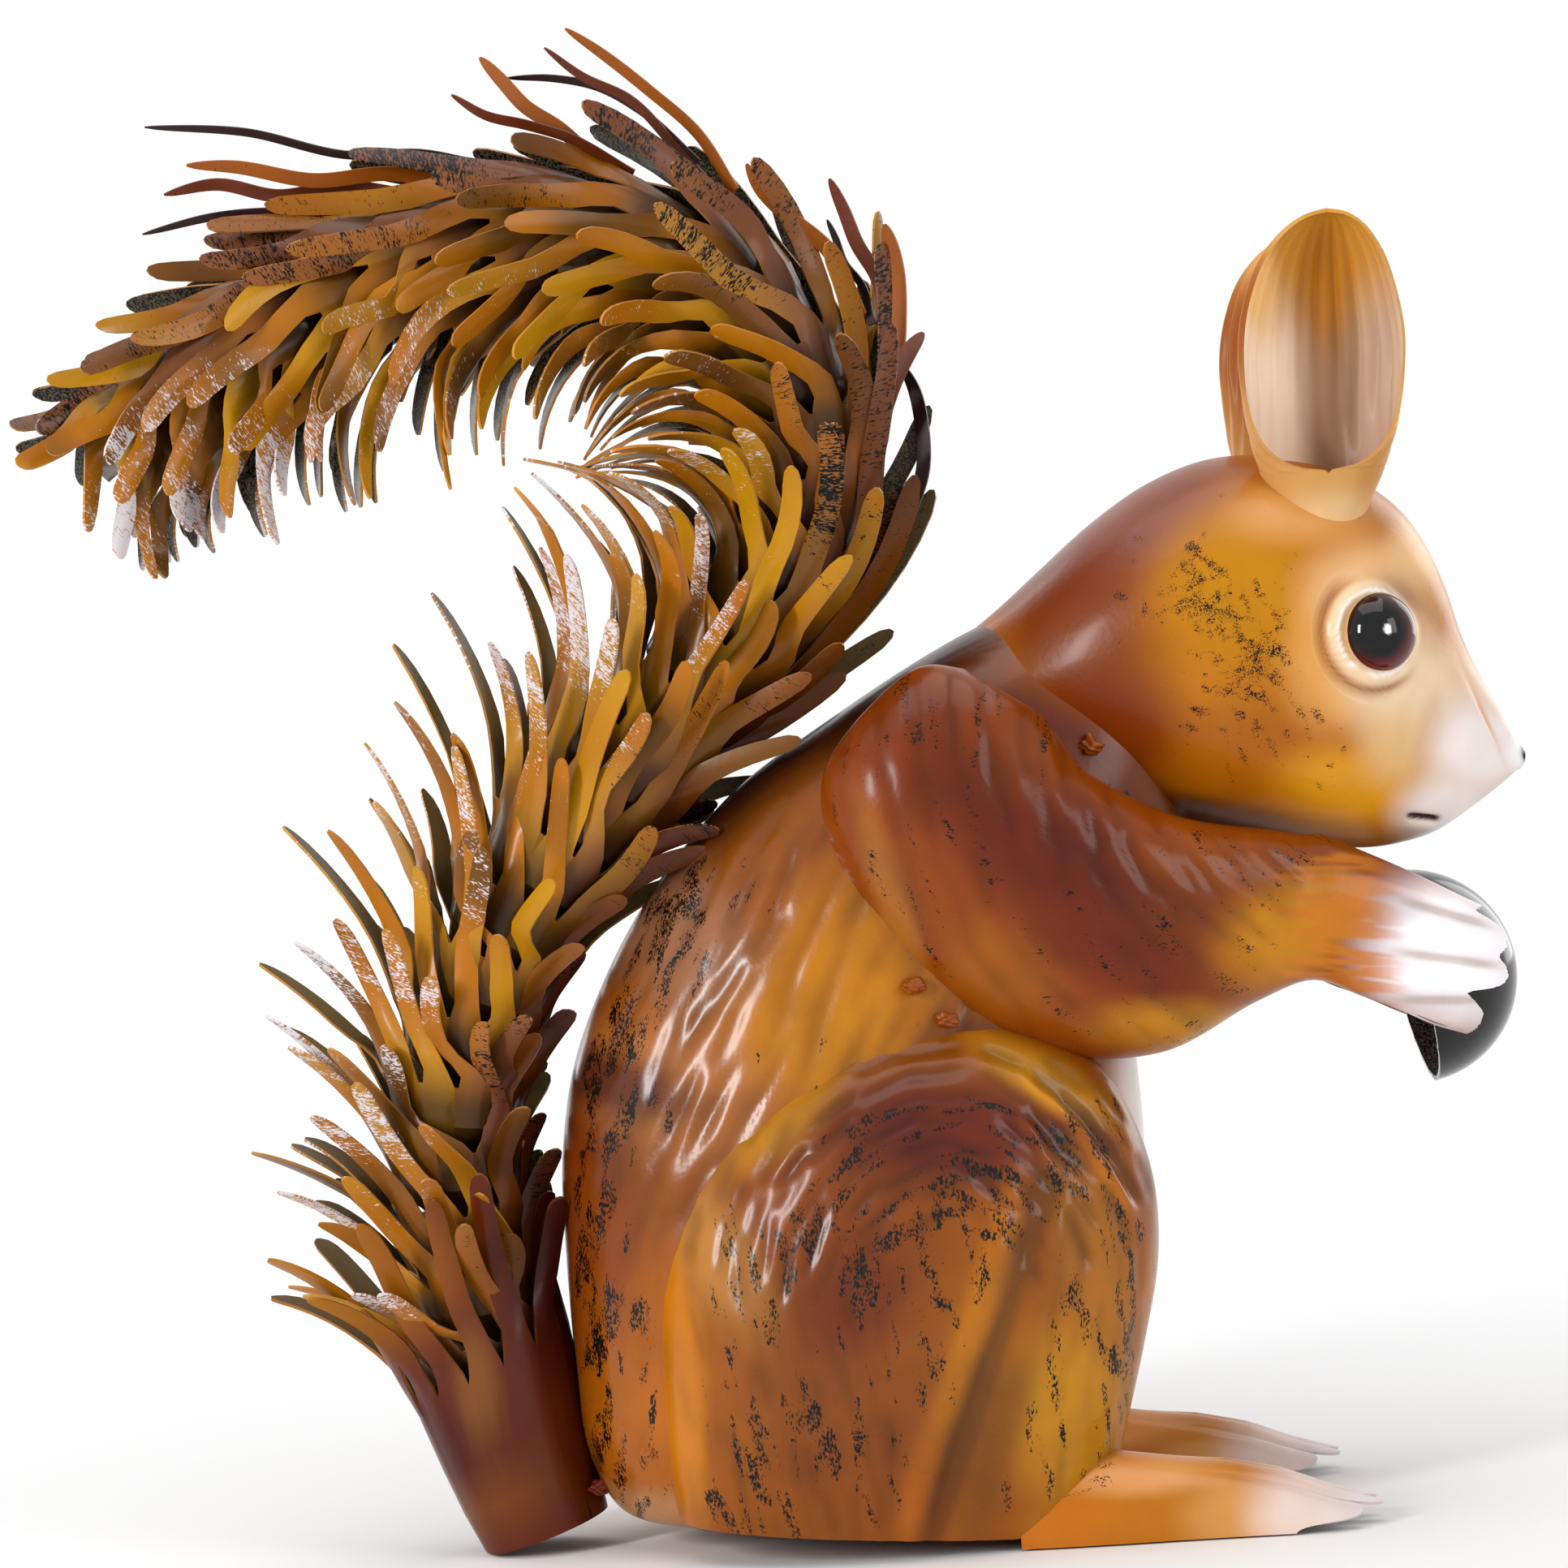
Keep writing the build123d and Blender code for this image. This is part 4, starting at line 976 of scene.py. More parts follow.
cut_away(haunch_right, (0, 0, haunch_foot), (-math.sin(rim_tilt), 0, -math.cos(rim_tilt)), fill=False)
thicken(haunch_right, pressing_sheet, back=1)
haunch_right.name = "haunch_pressing_right"
haunch_left = copy_of(haunch_right, "haunch_pressing_left")
mirror_across(haunch_left)
for piece, node in ((haunch_right, "haunch_right"), (haunch_left, "haunch_left")):
    smooth_within(piece)
    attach(piece, "root")
    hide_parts(node)
    print(piece.name, len(piece.data.polygons), [round(v, 1) for v in points_of(piece).min(0)])

# %% [markdown]
# Arms, ears and feet are open pressings, so each starts as a flat grid from the mesh menu, like the blank
# that a press would take. Its rows run along the limb and its columns go round it. Where the edge is
# scalloped into fingers or toes, each column simply ends where its finger ends.

# %% A flat blank pressed to a form
def merge_close(piece, closer_than):
    """Merges the points of a piece that lie closer together than so many millimetres."""
    make_active(piece)
    bpy.ops.object.mode_set(mode="EDIT")
    bpy.ops.mesh.select_all(action="SELECT")
    bpy.ops.mesh.remove_doubles(threshold=closer_than / 1000)
    bpy.ops.object.mode_set(mode="OBJECT")


def rest_on_ground(piece):
    """Lifts points that lie under the ground up to it."""
    put_points(piece, np.maximum(points_of(piece), [-np.inf, -np.inf, 0]))


def pressed_blank(name, columns, rows, form, core):
    """Moves a grid's points to form(across from -1 to 1, along from 0 to 1) and faces it away from a core."""
    deselect_all()
    bpy.ops.mesh.primitive_grid_add(x_subdivisions=columns, y_subdivisions=rows, size=2)
    piece = bpy.context.object
    piece.name = name
    flat = points_of(piece) / 1000
    put_points(piece, form(flat[:, 0], (flat[:, 1] + 1) / 2))
    merge_close(piece, 0.01)
    faces = piece.data.polygons
    if sum(face.normal.dot(face.center - Vector(core) / 1000) * face.area for face in faces) < 0:
        piece.data.flip_normals()
    piece.data.shade_smooth()
    return piece


def inside_outline(x, z, outline):
    """Whether points of the side view lie inside a closed outline."""
    inside = np.zeros(len(x), bool)
    for (x0, z0), (x1, z1) in zip(outline, np.roll(outline, -1, axis=0)):
        crosses = (z0 > z) != (z1 > z)
        with np.errstate(divide="ignore", invalid="ignore"):
            inside ^= crosses & (x < x0 + (z - z0) * (x1 - x0) / (z1 - z0))
    return inside


print("blank helpers ready")

# %% [markdown]
# Each arm is one pressing, open on its inner side, that narrows from a wide shoulder to a hand with four
# fingers. A path along its middle gives each section its place and lean. The hand's outline is drawn in the
# side view, and says where each column of the blank ends.

# %% Arm form
arm_length, arm_half_width, arm_depth, arm_x, arm_z = 120, 31, 17, 20, 128
lean_weight = 30
arm_rows = [
    (0.138, 0.318, 0.90, -0.43, 0.010, 0.020), (0.136, 0.306, 0.92, -0.38, 0.230, 0.300),
    (0.131, 0.270, 0.98, -0.21, 0.460, 0.600),
    (0.108, 0.154, 1.00, -0.02, 0.800, 0.920), (0.227, -0.020, 0.940, 0.338, 0.956, 1.030),
    (0.380, -0.122, 0.793, 0.610, 1.000, 1.000), (0.542, -0.147, 0.601, 0.798, 0.803, 0.800),
    (0.637, -0.114, 0.443, 0.896, 0.558, 0.640), (0.692, -0.108, 0.352, 0.935, 0.448, 0.520),
    (0.797, -0.152, 0.419, 0.908, 0.416, 0.380), (0.917, -0.212, 0.328, 0.944, 0.400, 0.300),
    (1.000, -0.245, 0.300, 0.954, 0.380, 0.220),
]
arm_sizes = [
    (arm_x + f * arm_length, arm_z + r * arm_length, a * lean_weight, b * lean_weight,
     half * arm_half_width, deep_share * arm_depth)
    for f, r, a, b, half, deep_share in arm_rows
]
hand_points = [
    (0.600, 0.100), (0.780, 0.040), (0.880, -0.040), (0.935, -0.085), (0.955, -0.104), (0.952, -0.114),
    (0.937, -0.121), (0.955, -0.134), (0.975, -0.150), (0.984, -0.168), (0.982, -0.185), (0.969, -0.198),
    (0.977, -0.210), (0.983, -0.225), (0.977, -0.239), (0.945, -0.248), (0.912, -0.252), (0.928, -0.271),
    (0.938, -0.290), (0.928, -0.308), (0.900, -0.322), (0.850, -0.326), (0.770, -0.300), (0.600, -0.280),
]
hand_corners = [(arm_x + f * arm_length, arm_z + r * arm_length) for f, r in hand_points]
hand_outline = smooth_rows(hand_corners, np.linspace(0, 1, 240))
wrist_x = hand_outline[0][0]


def arm_surface(across, along):
    x, z, lean_x, lean_z, half, out = smooth_rows(arm_sizes, along).T
    size = np.hypot(lean_x, lean_z)
    opened = 96 + 84 * (1 - smooth_step(x, 40, 74))
    turn = np.radians(-90 + across * opened)
    c, s = squared(turn, 2.3)
    middle_y = -(31 - 0.14 * (x - arm_x))
    return np.stack([x + lean_x / size * c * half, middle_y + s * out, z + lean_z / size * c * half], 1)


def arm_form(across, along):
    columns, which = np.unique(np.round(across, 6), return_inverse=True)
    steps = np.linspace(0.7, 1, 160)
    ends = np.ones(len(columns))
    for number, column in enumerate(columns):
        line = arm_surface(np.full(len(steps), column), steps)
        inside = inside_outline(line[:, 0], line[:, 2], hand_outline) | (line[:, 0] < wrist_x)
        stop = np.argmin(inside) if not inside.all() else len(steps) - 1
        ends[number] = steps[max(stop - 1, 0)]
    return arm_surface(across, along * ends[which])


print("hand outline:", len(hand_outline), "points")

# %% Arm relief
arm = pressed_blank("arm", 150, 190, arm_form, (70, -24, 118))
finger_grooves = [
    (126.5, 113.4, 160, 18, 1.7, -0.75), (126.0, 104.6, 168, 20, 1.7, -0.8),
    (124.0, 96.8, 176, 18, 1.7, -0.8),
]
arm_strokes = finger_grooves + [
    (123, 117.0, 160, 20, 3.2, 0.45), (125, 109.0, 165, 20, 3.4, 0.5), (125, 100.8, 172, 20, 3.4, 0.5),
    (121, 93.0, 170, 18, 3.2, 0.4),
]
for place in np.arange(0.14, 0.68, 0.055):
    for shift in np.arange(-22, 22, 7.0) + dice.uniform(-2, 2):
        x, z, lean_x, lean_z = smooth_rows(arm_sizes, np.array([place + dice.uniform(-0.02, 0.02)]))[0][:4]
        lean = math.degrees(math.atan2(lean_z, lean_x)) + 90 + dice.uniform(-6, 6)
        depth = dice.uniform(-0.48, -0.12)
        x, z = x + lean_x / lean_weight * shift, z + lean_z / lean_weight * shift
        arm_strokes.append((x, z, lean, dice.uniform(11, 22), 2.6, depth))
emboss(arm, arm_strokes)
# the hand lies outside the nut
points = points_of(arm)
nut_middle, nut_radius = np.array([121.3, 0, 100.6]), 21.1
from_nut = points - nut_middle
bulge = np.sqrt(np.clip((nut_radius + 1.3) ** 2 - from_nut[:, 0] ** 2 - from_nut[:, 2] ** 2, 0, None))
points[:, 1] = -((np.abs(points[:, 1]) ** 9 + bulge**9) ** (1 / 9))
put_points(arm, points)
print("arm faces:", len(arm.data.polygons), "reach:", points_of(arm).max(0).round(1))

# %% [markdown]
# The arm is dark amber down to the wrist, from where thin dry streaks of amber run into the nearly white
# hand. Painted shade darkens the grooves between the fingers and the embossed fur, whose ridges are
# painted lighter.

# %% Arm paint
arm_dabs = [
    (26, 152, 24, 20, 0, (112, 58, 31), 0.9),
    (50, 130, 40, 19, -35, (92, 48, 14), 0.9),
    # a painted highlight: a pale stripe along the arm's rear edge
    (20, 122, 5, 32, 14, (184, 121, 60), 0.6),
    (40, 108, 16, 12, -35, (150, 91, 42), 0.75),
    (62, 110, 28, 11, -28, (112, 54, 19), 0.85),
    (74, 95, 26, 8, -8, (190, 130, 46), 0.85),
    (94, 112, 20, 14, 20, (198, 134, 37), 0.85),
    (84, 127, 28, 6, -4, (142, 78, 23), 0.75),
    (104, 118, 12, 9, -15, (204, 136, 64), 0.7),
    (123, 106, 20, 21, 0, (238, 232, 236), 1.0),
    (136, 104, 18, 22, 0, (236, 230, 234), 1.0),
]
points = points_of(arm)
colours = spray(points, (138, 73, 21), arm_dabs)
fade_marks = [(x, z, 170 + dice.uniform(-8, 8), dice.uniform(8, 20), dice.uniform(0.6, 1.3), 0.9)
              for x, z in zip(dice.uniform(98, 118, 90), dice.uniform(92, 126, 90))]
trail = np.clip(strokes_at(points, fade_marks), 0, 0.85) * smooth_step(117 - points[:, 0], -3, 8)
colours = lay_on(colours, (196, 117, 46), trail)
# painted shade in the grooves between the fingers, then painted shade in all embossed grooves and painted
# light on their ridges
colours = lay_on(colours, (214, 190, 172), np.clip(-0.8 * strokes_at(points, finger_grooves), 0, 0.45))
colours *= (1 + 0.5 * np.clip(strokes_at(points, arm_strokes), -0.6, 0.3))[:, None]
keep_colour(arm, "paint", np.clip(colours, 0, 1))
arm_marks = []
for number in range(230):
    place = dice.uniform(0.08, 0.70)
    x, z, lean_x, lean_z = smooth_rows(arm_sizes, np.array([place]))[0][:4]
    shift = dice.uniform(-27, 26)
    x, z = x + lean_x / lean_weight * shift, z + lean_z / lean_weight * shift
    lean = math.degrees(math.atan2(lean_z, lean_x)) + 90 + dice.uniform(-9, 9)
    arm_marks.append((x, z, lean, dice.uniform(4, 13), dice.uniform(0.7, 1.5), dice.uniform(0.35, 0.7)))
brush = np.clip(strokes_at(points, arm_marks), 0, 0.6) * (1 - smooth_step(points[:, 0], 108, 120))
keep_mask(arm, "brush", brush)
keep_colour(arm, "paint_back", np.tile(lacquer_mix(150, 124, 104), (len(points), 1)))
arm.data.materials.append(arm_lacquer)
arm.data.materials.append(inside_lacquer)
thicken(arm, pressing_sheet, back=1)
arm_right = arm
arm_right.name = "arm_pressing_right"
arm_left = copy_of(arm_right, "arm_pressing_left")
mirror_across(arm_left)
for piece, node in ((arm_right, "arm_right"), (arm_left, "arm_left")):
    smooth_within(piece)
    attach(piece, "root")
    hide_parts(node)
    print(piece.name, len(piece.data.polygons))

# %% [markdown]
# Each ear is one sheet rolled into a cone whose two edges meet at the front of its foot and then open into
# the oval mouth. So the blank's side edges become the mouth's rim, and the fanned pleats are pressed in
# along the blank's own lines.

# %% Ears
ear_height, ear_half_width, ear_half_depth = 64, 15.8, 11.5
ear_base_x, ear_base_y, ear_base_z = 107.5, 17, 186
ear_rows = [
    (0.000, 0.000, 0.000, 0.440, 0.610), (0.110, 0.030, 0.000, 0.590, 0.740),
    (0.220, 0.070, 0.045, 0.760, 0.870), (0.330, 0.095, 0.090, 0.890, 0.960),
    (0.470, 0.125, 0.175, 0.985, 1.000), (0.610, 0.145, 0.260, 1.000, 1.000),
    (0.750, 0.160, 0.350, 0.905, 0.920), (0.875, 0.195, 0.390, 0.710, 0.740),
    (0.955, 0.240, 0.430, 0.450, 0.490), (0.986, 0.258, 0.430, 0.250, 0.270),
    (1.000, 0.266, 0.430, 0.010, 0.014),
]
ear_sizes = [
    (h * ear_height, f * ear_half_width, out * ear_half_depth, half * ear_half_width, depth * ear_half_depth)
    for h, f, out, half, depth in ear_rows
]
mouth_points = [
    (1.150, 0.180), (0.640, 0.265), (0.260, 0.400), (0.300, 0.610), (0.420, 0.840), (0.460, 1.050),
]
mouth_corners = [(out * ear_half_depth, up * ear_height) for out, up in mouth_points]
mouth_line = smooth_rows(mouth_corners, np.linspace(0, 1, 100))


def ear_form(across, along):
    height, forward, outward, half, depth = smooth_rows(ear_sizes, along).T
    mouth = np.interp(height, mouth_line[:, 1], mouth_line[:, 0])
    share = np.clip((mouth - outward) / depth, -1, 1)
    opened = 90 + np.degrees(np.arcsin(share))
    turn = np.radians(90 + across * opened)
    deep = 0.014 + 0.028 * smooth_step(along, 0.35, 0.6)
    start_soft, end_soft = smooth_step(along, 0.12, 0.4), 1 - 0.6 * smooth_step(along, 0.85, 1)
    pleat = 1 + deep * np.cos(across * 36) * start_soft * end_soft
    x = ear_base_x + forward + np.cos(turn) * half * pleat
    y = -ear_base_y - outward + np.sin(turn) * depth * pleat
    return np.stack([x, y, ear_base_z + height], 1)


for lean, side, name, node in ((3, 1, "ear_cone_right", "ear_right"), (-4, -1, "ear_cone_left", "ear_left")):
    ear = pressed_blank(name, 180, 120, ear_form, (110, -19, 222))
    points = points_of(ear)
    c, s = math.cos(math.radians(lean)), math.sin(math.radians(lean))
    dy, dz = points[:, 1] + ear_base_y, points[:, 2] - ear_base_z
    # inside the cup the paint holds light and shade: a painted highlight down its left side and painted shade
    # in the hollow's middle
    inner = spray(points, (204, 172, 142), [
        (98, 218, 12, 46, 6, (252, 228, 204), 0.95), (113, 212, 9, 44, 0, (138, 104, 80), 0.85),
        (121, 212, 5, 34, -4, (190, 160, 142), 0.8), (111, 245, 28, 22, 0, (196, 136, 34), 0.9),
        (112, 236, 8, 20, 0, (166, 106, 22), 0.8), (97, 238, 7, 18, 8, (244, 194, 120), 0.8),
        (110, 196, 16, 5, 0, (206, 160, 112), 0.7),
    ])
    outer = spray(points, (206, 154, 92), [
        (98, 226, 10, 30, 8, (150, 82, 36), 0.9), (110, 190, 18, 9, 0, (222, 184, 136), 0.85),
        (112, 250, 12, 9, 0, (206, 148, 60), 0.7), (121, 200, 8, 14, -20, (196, 132, 66), 0.6),
    ])
    points[:, 1] = -ear_base_y + dy * c - dz * s
    points[:, 2] = ear_base_z + dy * s + dz * c
    put_points(ear, points)
    keep_colour(ear, "paint", inner)
    keep_colour(ear, "paint_back", outer)
    ear.data.materials.append(ear_back_lacquer)
    ear.data.materials.append(ear_lacquer)
    thicken(ear, pressing_sheet, back=1)
    if side < 0:
        mirror_across(ear)
    smooth_within(ear)
    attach(ear, "root")
    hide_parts(node)
    print(name, points_of(ear).min(0).round(1), points_of(ear).max(0).round(1))

# %% [markdown]
# The nut is half a ball shell in high gloss black, open towards the face. It starts as a ball, is bisected by
# the tilted plane of its rim, and gets the sheet's thickness, with the rim's edge left sharp.

# %% Nut
nut_sheet = 0.9
nut_lacquer = painted_finish(
    "nut_lacquer", 0.12, 0.45, cloud=0.05, peel=0.03, speck_scale=1500, dark=(12, 12, 16)
)
deselect_all()
bpy.ops.mesh.primitive_uv_sphere_add(
    segments=120, ring_count=80, radius=nut_radius / 1000, location=nut_middle / 1000
)
nut = bpy.context.object
nut.name = "nut_half_ball"
bpy.ops.object.transform_apply(location=True, rotation=True, scale=True)
nut_tilt = math.radians(10.7)
cut_away(nut, nut_middle, (-math.cos(nut_tilt), 0, -math.sin(nut_tilt)), fill=False)
points = points_of(nut)
keep_colour(nut, "paint", np.tile(lacquer_mix(10, 9, 12), (len(points), 1)))
keep_colour(nut, "paint_back", np.tile(lacquer_mix(44, 42, 44), (len(points), 1)))
nut.data.materials.append(nut_lacquer)
nut.data.materials.append(inside_lacquer)
thicken(nut, nut_sheet, back=1)
smooth_within(nut)
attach(nut, "root")
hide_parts("nut_shell")
print("nut box:", points_of(nut).min(0).round(1), points_of(nut).max(0).round(1))

# %% [markdown]
# Each foot is a half round pressing, open at the sole, whose front edge is slit into four pointed toes. Its
# blank ends in four points, so the slits are the gaps between columns that end at different lengths.

# %% Feet
foot_length, foot_height, foot_half_width, foot_heel, foot_out = 78, 16, 12.5, 28, 30
foot_sizes = [
    (foot_heel + f * foot_length, h * foot_height, half * foot_half_width)
    for f, h, half in (
        (0.000, 0.700, 0.720), (0.200, 0.960, 0.840), (0.350, 1.000, 0.880), (0.490, 0.890, 0.890),
        (0.620, 0.800, 0.920), (0.750, 0.620, 0.970), (0.870, 0.370, 1.000), (1.000, 0.170, 0.980),
    )
]
toe_tips = [foot_heel + share * foot_length for share in (0.930, 0.990, 0.985, 0.915)]


def foot_form(across, along):
    turn = np.radians(90 - across * 90)
    side = np.cos(turn)
    toe = np.clip(((side + 1) * 2).astype(int), 0, 3)
    off = np.abs((side + 1) * 2 - toe - 0.5) * 2
    tip = np.array(toe_tips)[toe] - 4 * off**2 - 9 * off**7
    x = (foot_heel + 8) + (tip - foot_heel - 8) * along
    rows = np.array(foot_sizes)
    height = np.interp(x, rows[:, 0], rows[:, 1])
    half = np.interp(x, rows[:, 0], rows[:, 2])
    ridge = (0.9 * (1 - off**2) - 0.5 * off**6) * smooth_step(x, 66, 92)
    y = -foot_out + side * half
    z = np.sin(turn) * height + ridge * np.sin(turn)
    return np.stack([x, y, np.maximum(z, 0)], 1)


foot = pressed_blank("foot", 128, 90, foot_form, (66, -30, 0))
points = points_of(foot)
foot_dabs = [
    # the pale band at (60, 12) is a painted highlight along the top of the foot
    (40, 4, 20, 18, 0, (186, 108, 22), 0.85), (60, 12, 20, 5, 0, (226, 160, 100), 0.8),
    (76, 3, 14, 12, 0, (214, 156, 92), 0.7), (90, 3, 16, 14, 0, (222, 202, 192), 0.95),
    (104, 2, 14, 12, 0, (222, 210, 214), 0.95),
]
keep_colour(foot, "paint", spray(points, (180, 112, 18), foot_dabs))
keep_colour(foot, "paint_back", np.tile(lacquer_mix(90, 74, 62), (len(points), 1)))
foot_marks = [
    (52 + dice.normal(0, 4), 13 + dice.normal(0, 2), 8, dice.uniform(4, 8), 1.4, 0.6)
    for number in range(6)
]
keep_mask(foot, "brush", np.clip(strokes_at(points, foot_marks), 0, 0.55))
foot.data.materials.append(foot_lacquer)
foot.data.materials.append(inside_lacquer)
thicken(foot, pressing_sheet, back=1)
rest_on_ground(foot)
foot_right = foot
foot_right.name = "foot_pressing_right"
foot_left = copy_of(foot_right, "foot_pressing_left")
mirror_across(foot_left)
for piece, node in ((foot_right, "foot_right"), (foot_left, "foot_left")):
    smooth_within(piece)
    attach(piece, "root")
    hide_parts(node)
    print(piece.name, points_of(piece).min(0).round(1), points_of(piece).max(0).round(1))

# %% [markdown]
# The tail is one bent rod that carries thirty cups of sheet. The rod's bends are arcs that follow on from
# each other, so a distance along it gives a place and a heading. A point of the fringe is then a distance
# along the rod, an angle round it and a reach out from it.

# %% The rod's line
rod_start, rod_heading = (-55.5, 3.0), 107.3
rod_bends = [(300, -11.7), (97, -44.9), (380, -7.3), (94, 14.0), (44, 115.7), (91, 27.0), (189, 20.0)]
rod_spans = []
reached, spot, heading = 0.0, np.array(rod_start), math.radians(rod_heading)
for radius, degrees in rod_bends:
    turn = math.radians(degrees)
    side = math.copysign(1, turn)
    centre = spot + np.array([-math.sin(heading), math.cos(heading)]) * radius * side
    rod_spans.append((reached, centre, heading, radius, side))
    heading += turn
    spot = centre - np.array([-math.sin(heading), math.cos(heading)]) * radius * side
    reached += radius * abs(turn)
rod_length = reached


def rod_at(distance):
    """Middle of the rod, as x and z, and its heading at distances along it, straight on past its ends."""
    distance = np.atleast_1d(np.asarray(distance, float))
    starts = np.array([span[0] for span in rod_spans])
    last = len(rod_spans) - 1
    number = np.clip(np.searchsorted(starts, distance, side="right") - 1, 0, last)
    centre = np.array([span[1] for span in rod_spans])[number]
    first, radius, side = (np.array([span[k] for span in rod_spans])[number] for k in (2, 3, 4))
    part = distance - starts[number]
    room = rod_length - starts[number]
    along = np.where(number == last, np.minimum(part, room), np.maximum(part, 0))
    now = first + side * along / radius
    middle = centre - np.stack([-np.sin(now), np.cos(now)], 1) * (radius * side)[:, None]
    return middle + np.stack([np.cos(now), np.sin(now)], 1) * (part - along)[:, None], now


def tail_points(distance, angle, reach):
    """Points by distance along the rod, angle round it from the free side, and reach."""
    middle, now = rod_at(distance)
    out = np.cos(angle) * reach
    x = middle[:, 0] - np.sin(now) * out
    z = middle[:, 1] + np.cos(now) * out
    return np.stack([x, -np.sin(angle) * reach, z], 1)


print("rod length:", round(rod_length, 1), "tip:", spot.round(1))

# %% [markdown]
# The fringe is sheet slit like a comb and rolled round the rod. The comb is modelled once, flat: a grid whose
# slit columns are selected and deleted, which leaves twelve joined fingers. Every collar is a copy of it,
# rolled to its own size, with each finger bent, waved and twisted a little by its own dice.

# %% The flat comb
def flat_comb(name, fingers, rows, joined_rows):
    """A grid of five columns to a finger, with the fifth deleted beyond the joined rows."""
    deselect_all()
    bpy.ops.mesh.primitive_grid_add(x_subdivisions=fingers * 5, y_subdivisions=rows, size=2)
    comb = bpy.context.object
    comb.name = name
    bpy.ops.object.mode_set(mode="EDIT")
    bpy.ops.mesh.select_all(action="DESELECT")
    bpy.ops.object.mode_set(mode="OBJECT")
    for face in comb.data.polygons:
        column = int((face.center.x + 1) / 2 * fingers * 5)
        row = int((face.center.y + 1) / 2 * rows)
        face.select = column % 5 == 4 and row >= joined_rows
    bpy.ops.object.mode_set(mode="EDIT")
    bpy.ops.mesh.select_mode(type="FACE")
    bpy.ops.mesh.delete(type="FACE")
    bpy.ops.mesh.select_mode(type="VERT")
    bpy.ops.mesh.select_all(action="SELECT")
    bpy.ops.mesh.delete_loose()
    bpy.ops.object.mode_set(mode="OBJECT")
    return comb


comb_fingers, comb_rows, comb_joined = 12, 17, 7
comb = flat_comb("flat_comb", comb_fingers, comb_rows, comb_joined)
print("comb:", len(comb.data.vertices), "points,", len(comb.data.polygons), "faces")

# %% [markdown]
# Rolling the comb: each point knows its finger, its place across it and its row. The rows run from the hub up
# the cup, over the joined band and out along the free finger. The finger narrows like the real ones, which
# are wide at the slit and rounded at the tip. The paint of each finger runs on its own flat strip, and the
# strips lie so far apart that no two fingers get the same specks.

# %% Rolling a comb on to the rod
free_shares = np.array(
    [0, 0.06, 0.13, 0.19, 0.25, 0.33, 0.42, 0.51, 0.60, 0.69, 0.78, 0.86, 0.935, 0.98, 1.0]
)
width_shares = np.array(
    [1, 1, 1, 0.98, 0.95, 0.93, 0.91, 0.90, 0.88, 0.86, 0.84, 0.81, 0.74, 0.54, 0.20]
)
strip_step, seed_step, least_reach = 23, 7.0, 2.6


def rolled_comb(piece, fingers, rows, start, cup, length, tips, finger_width, offset, seed,
                bow=1.25, wild=1.0, lean=14.0, web=0.13):
    """Rolls a flat comb on to the rod: cup is (depth, hub, rim, slant), tips are the three free reaches."""
    depth, hub, rim, slant = cup
    flat = points_of(piece) / 1000
    column = np.round((flat[:, 0] + 1) / 2 * fingers * 5).astype(int)
    row = np.round((flat[:, 1] + 1) / 2 * rows).astype(int)
    finger, place = column // 5, column % 5
    across = np.where(place == 4, 1.0, (place - 1.5) / 1.5)
    own = np.random.default_rng(seed)
    traits = ("long", "far", "sway", "phase", "lean", "twist", "curl", "waves")
    tables = {trait: own.uniform(-1, 1, fingers) for trait in traits}
    pick = {key: np.append(values, values[0])[finger] for key, values in tables.items()}
    cup_rows = rows + 1 - len(free_shares)
    share = free_shares[np.clip(row - cup_rows, 0, None)]
    in_cup = row < cup_rows
    cup_part = np.minimum(row / cup_rows, 1)
    angle = math.tau * (finger + offset) / fingers
    turn, side = np.cos(angle), np.sin(angle)
    free, middle, body = tips
    tip = np.where(turn > 0, middle + (free - middle) * turn**2, middle + (body - middle) * turn**2)
    joined = 1 - smooth_step(share, web, web + 0.11)
    loose = smooth_step(share, web + 0.01, web + 0.37)
    long = length * (1 + 0.22 * wild * pick["long"] * loose)
    tip = tip * (1 + 0.12 * wild * pick["far"])
    # towards the tip a free finger bends outwards and so gains less along the rod
    flare = share - 0.22 * np.clip(turn, 0, 1) * share**3
    distance = start + (depth - slant * turn) * cup_part + long * flare
    reach = rim + (tip - rim) * share**bow + 3.4 * wild * pick["curl"] * loose * share**2
    reach = reach - 2.6 * wild * loose * np.sin(share * math.pi * 1.15) * (0.4 + 0.6 * np.abs(pick["waves"]))
    first_phase, turns = 3 * pick["phase"], share * (0.85 + 0.3 * pick["waves"])
    wave = np.sin(math.tau * turns + first_phase) - np.sin(first_phase)
    sway = wild * loose * (3.3 * pick["sway"] * wave + 4.8 * pick["lean"] * share**1.5)
    sway = sway - lean * side * loose * share**1.2
    reach = np.where(in_cup, hub + (rim - hub) * cup_part, reach)
    reach = np.maximum(reach, least_reach)
    half = np.interp(share, free_shares, width_shares) * finger_width / 2
    full = math.pi * reach / fingers * 0.93
    half = half * (1 - joined) + full * joined
    half = np.where(in_cup, full, half)
    # fingers at the outline turn their flat side to the viewer
    twist = -0.95 * turn * np.where(side >= 0, 1, -1) * smooth_step(share, 0.15, 0.6)
    twist = twist + 0.45 * wild * pick["twist"] * loose * share
    swing = angle + (across * half * np.cos(twist) + sway) / reach
    lift = across * half * np.sin(twist) - 0.10 * half * across**2 * (1 - joined)
    put_points(piece, tail_points(distance, swing, reach + lift))
    keep_mask(piece, "finger", finger % fingers)
    shift = np.full(len(share), seed_step * seed)
    strip = np.stack([across * half + strip_step * finger, long * share, shift], 1)
    keep_vector(piece, "strip", strip / 1000)
    merge_close(piece, 0.1)
    return piece


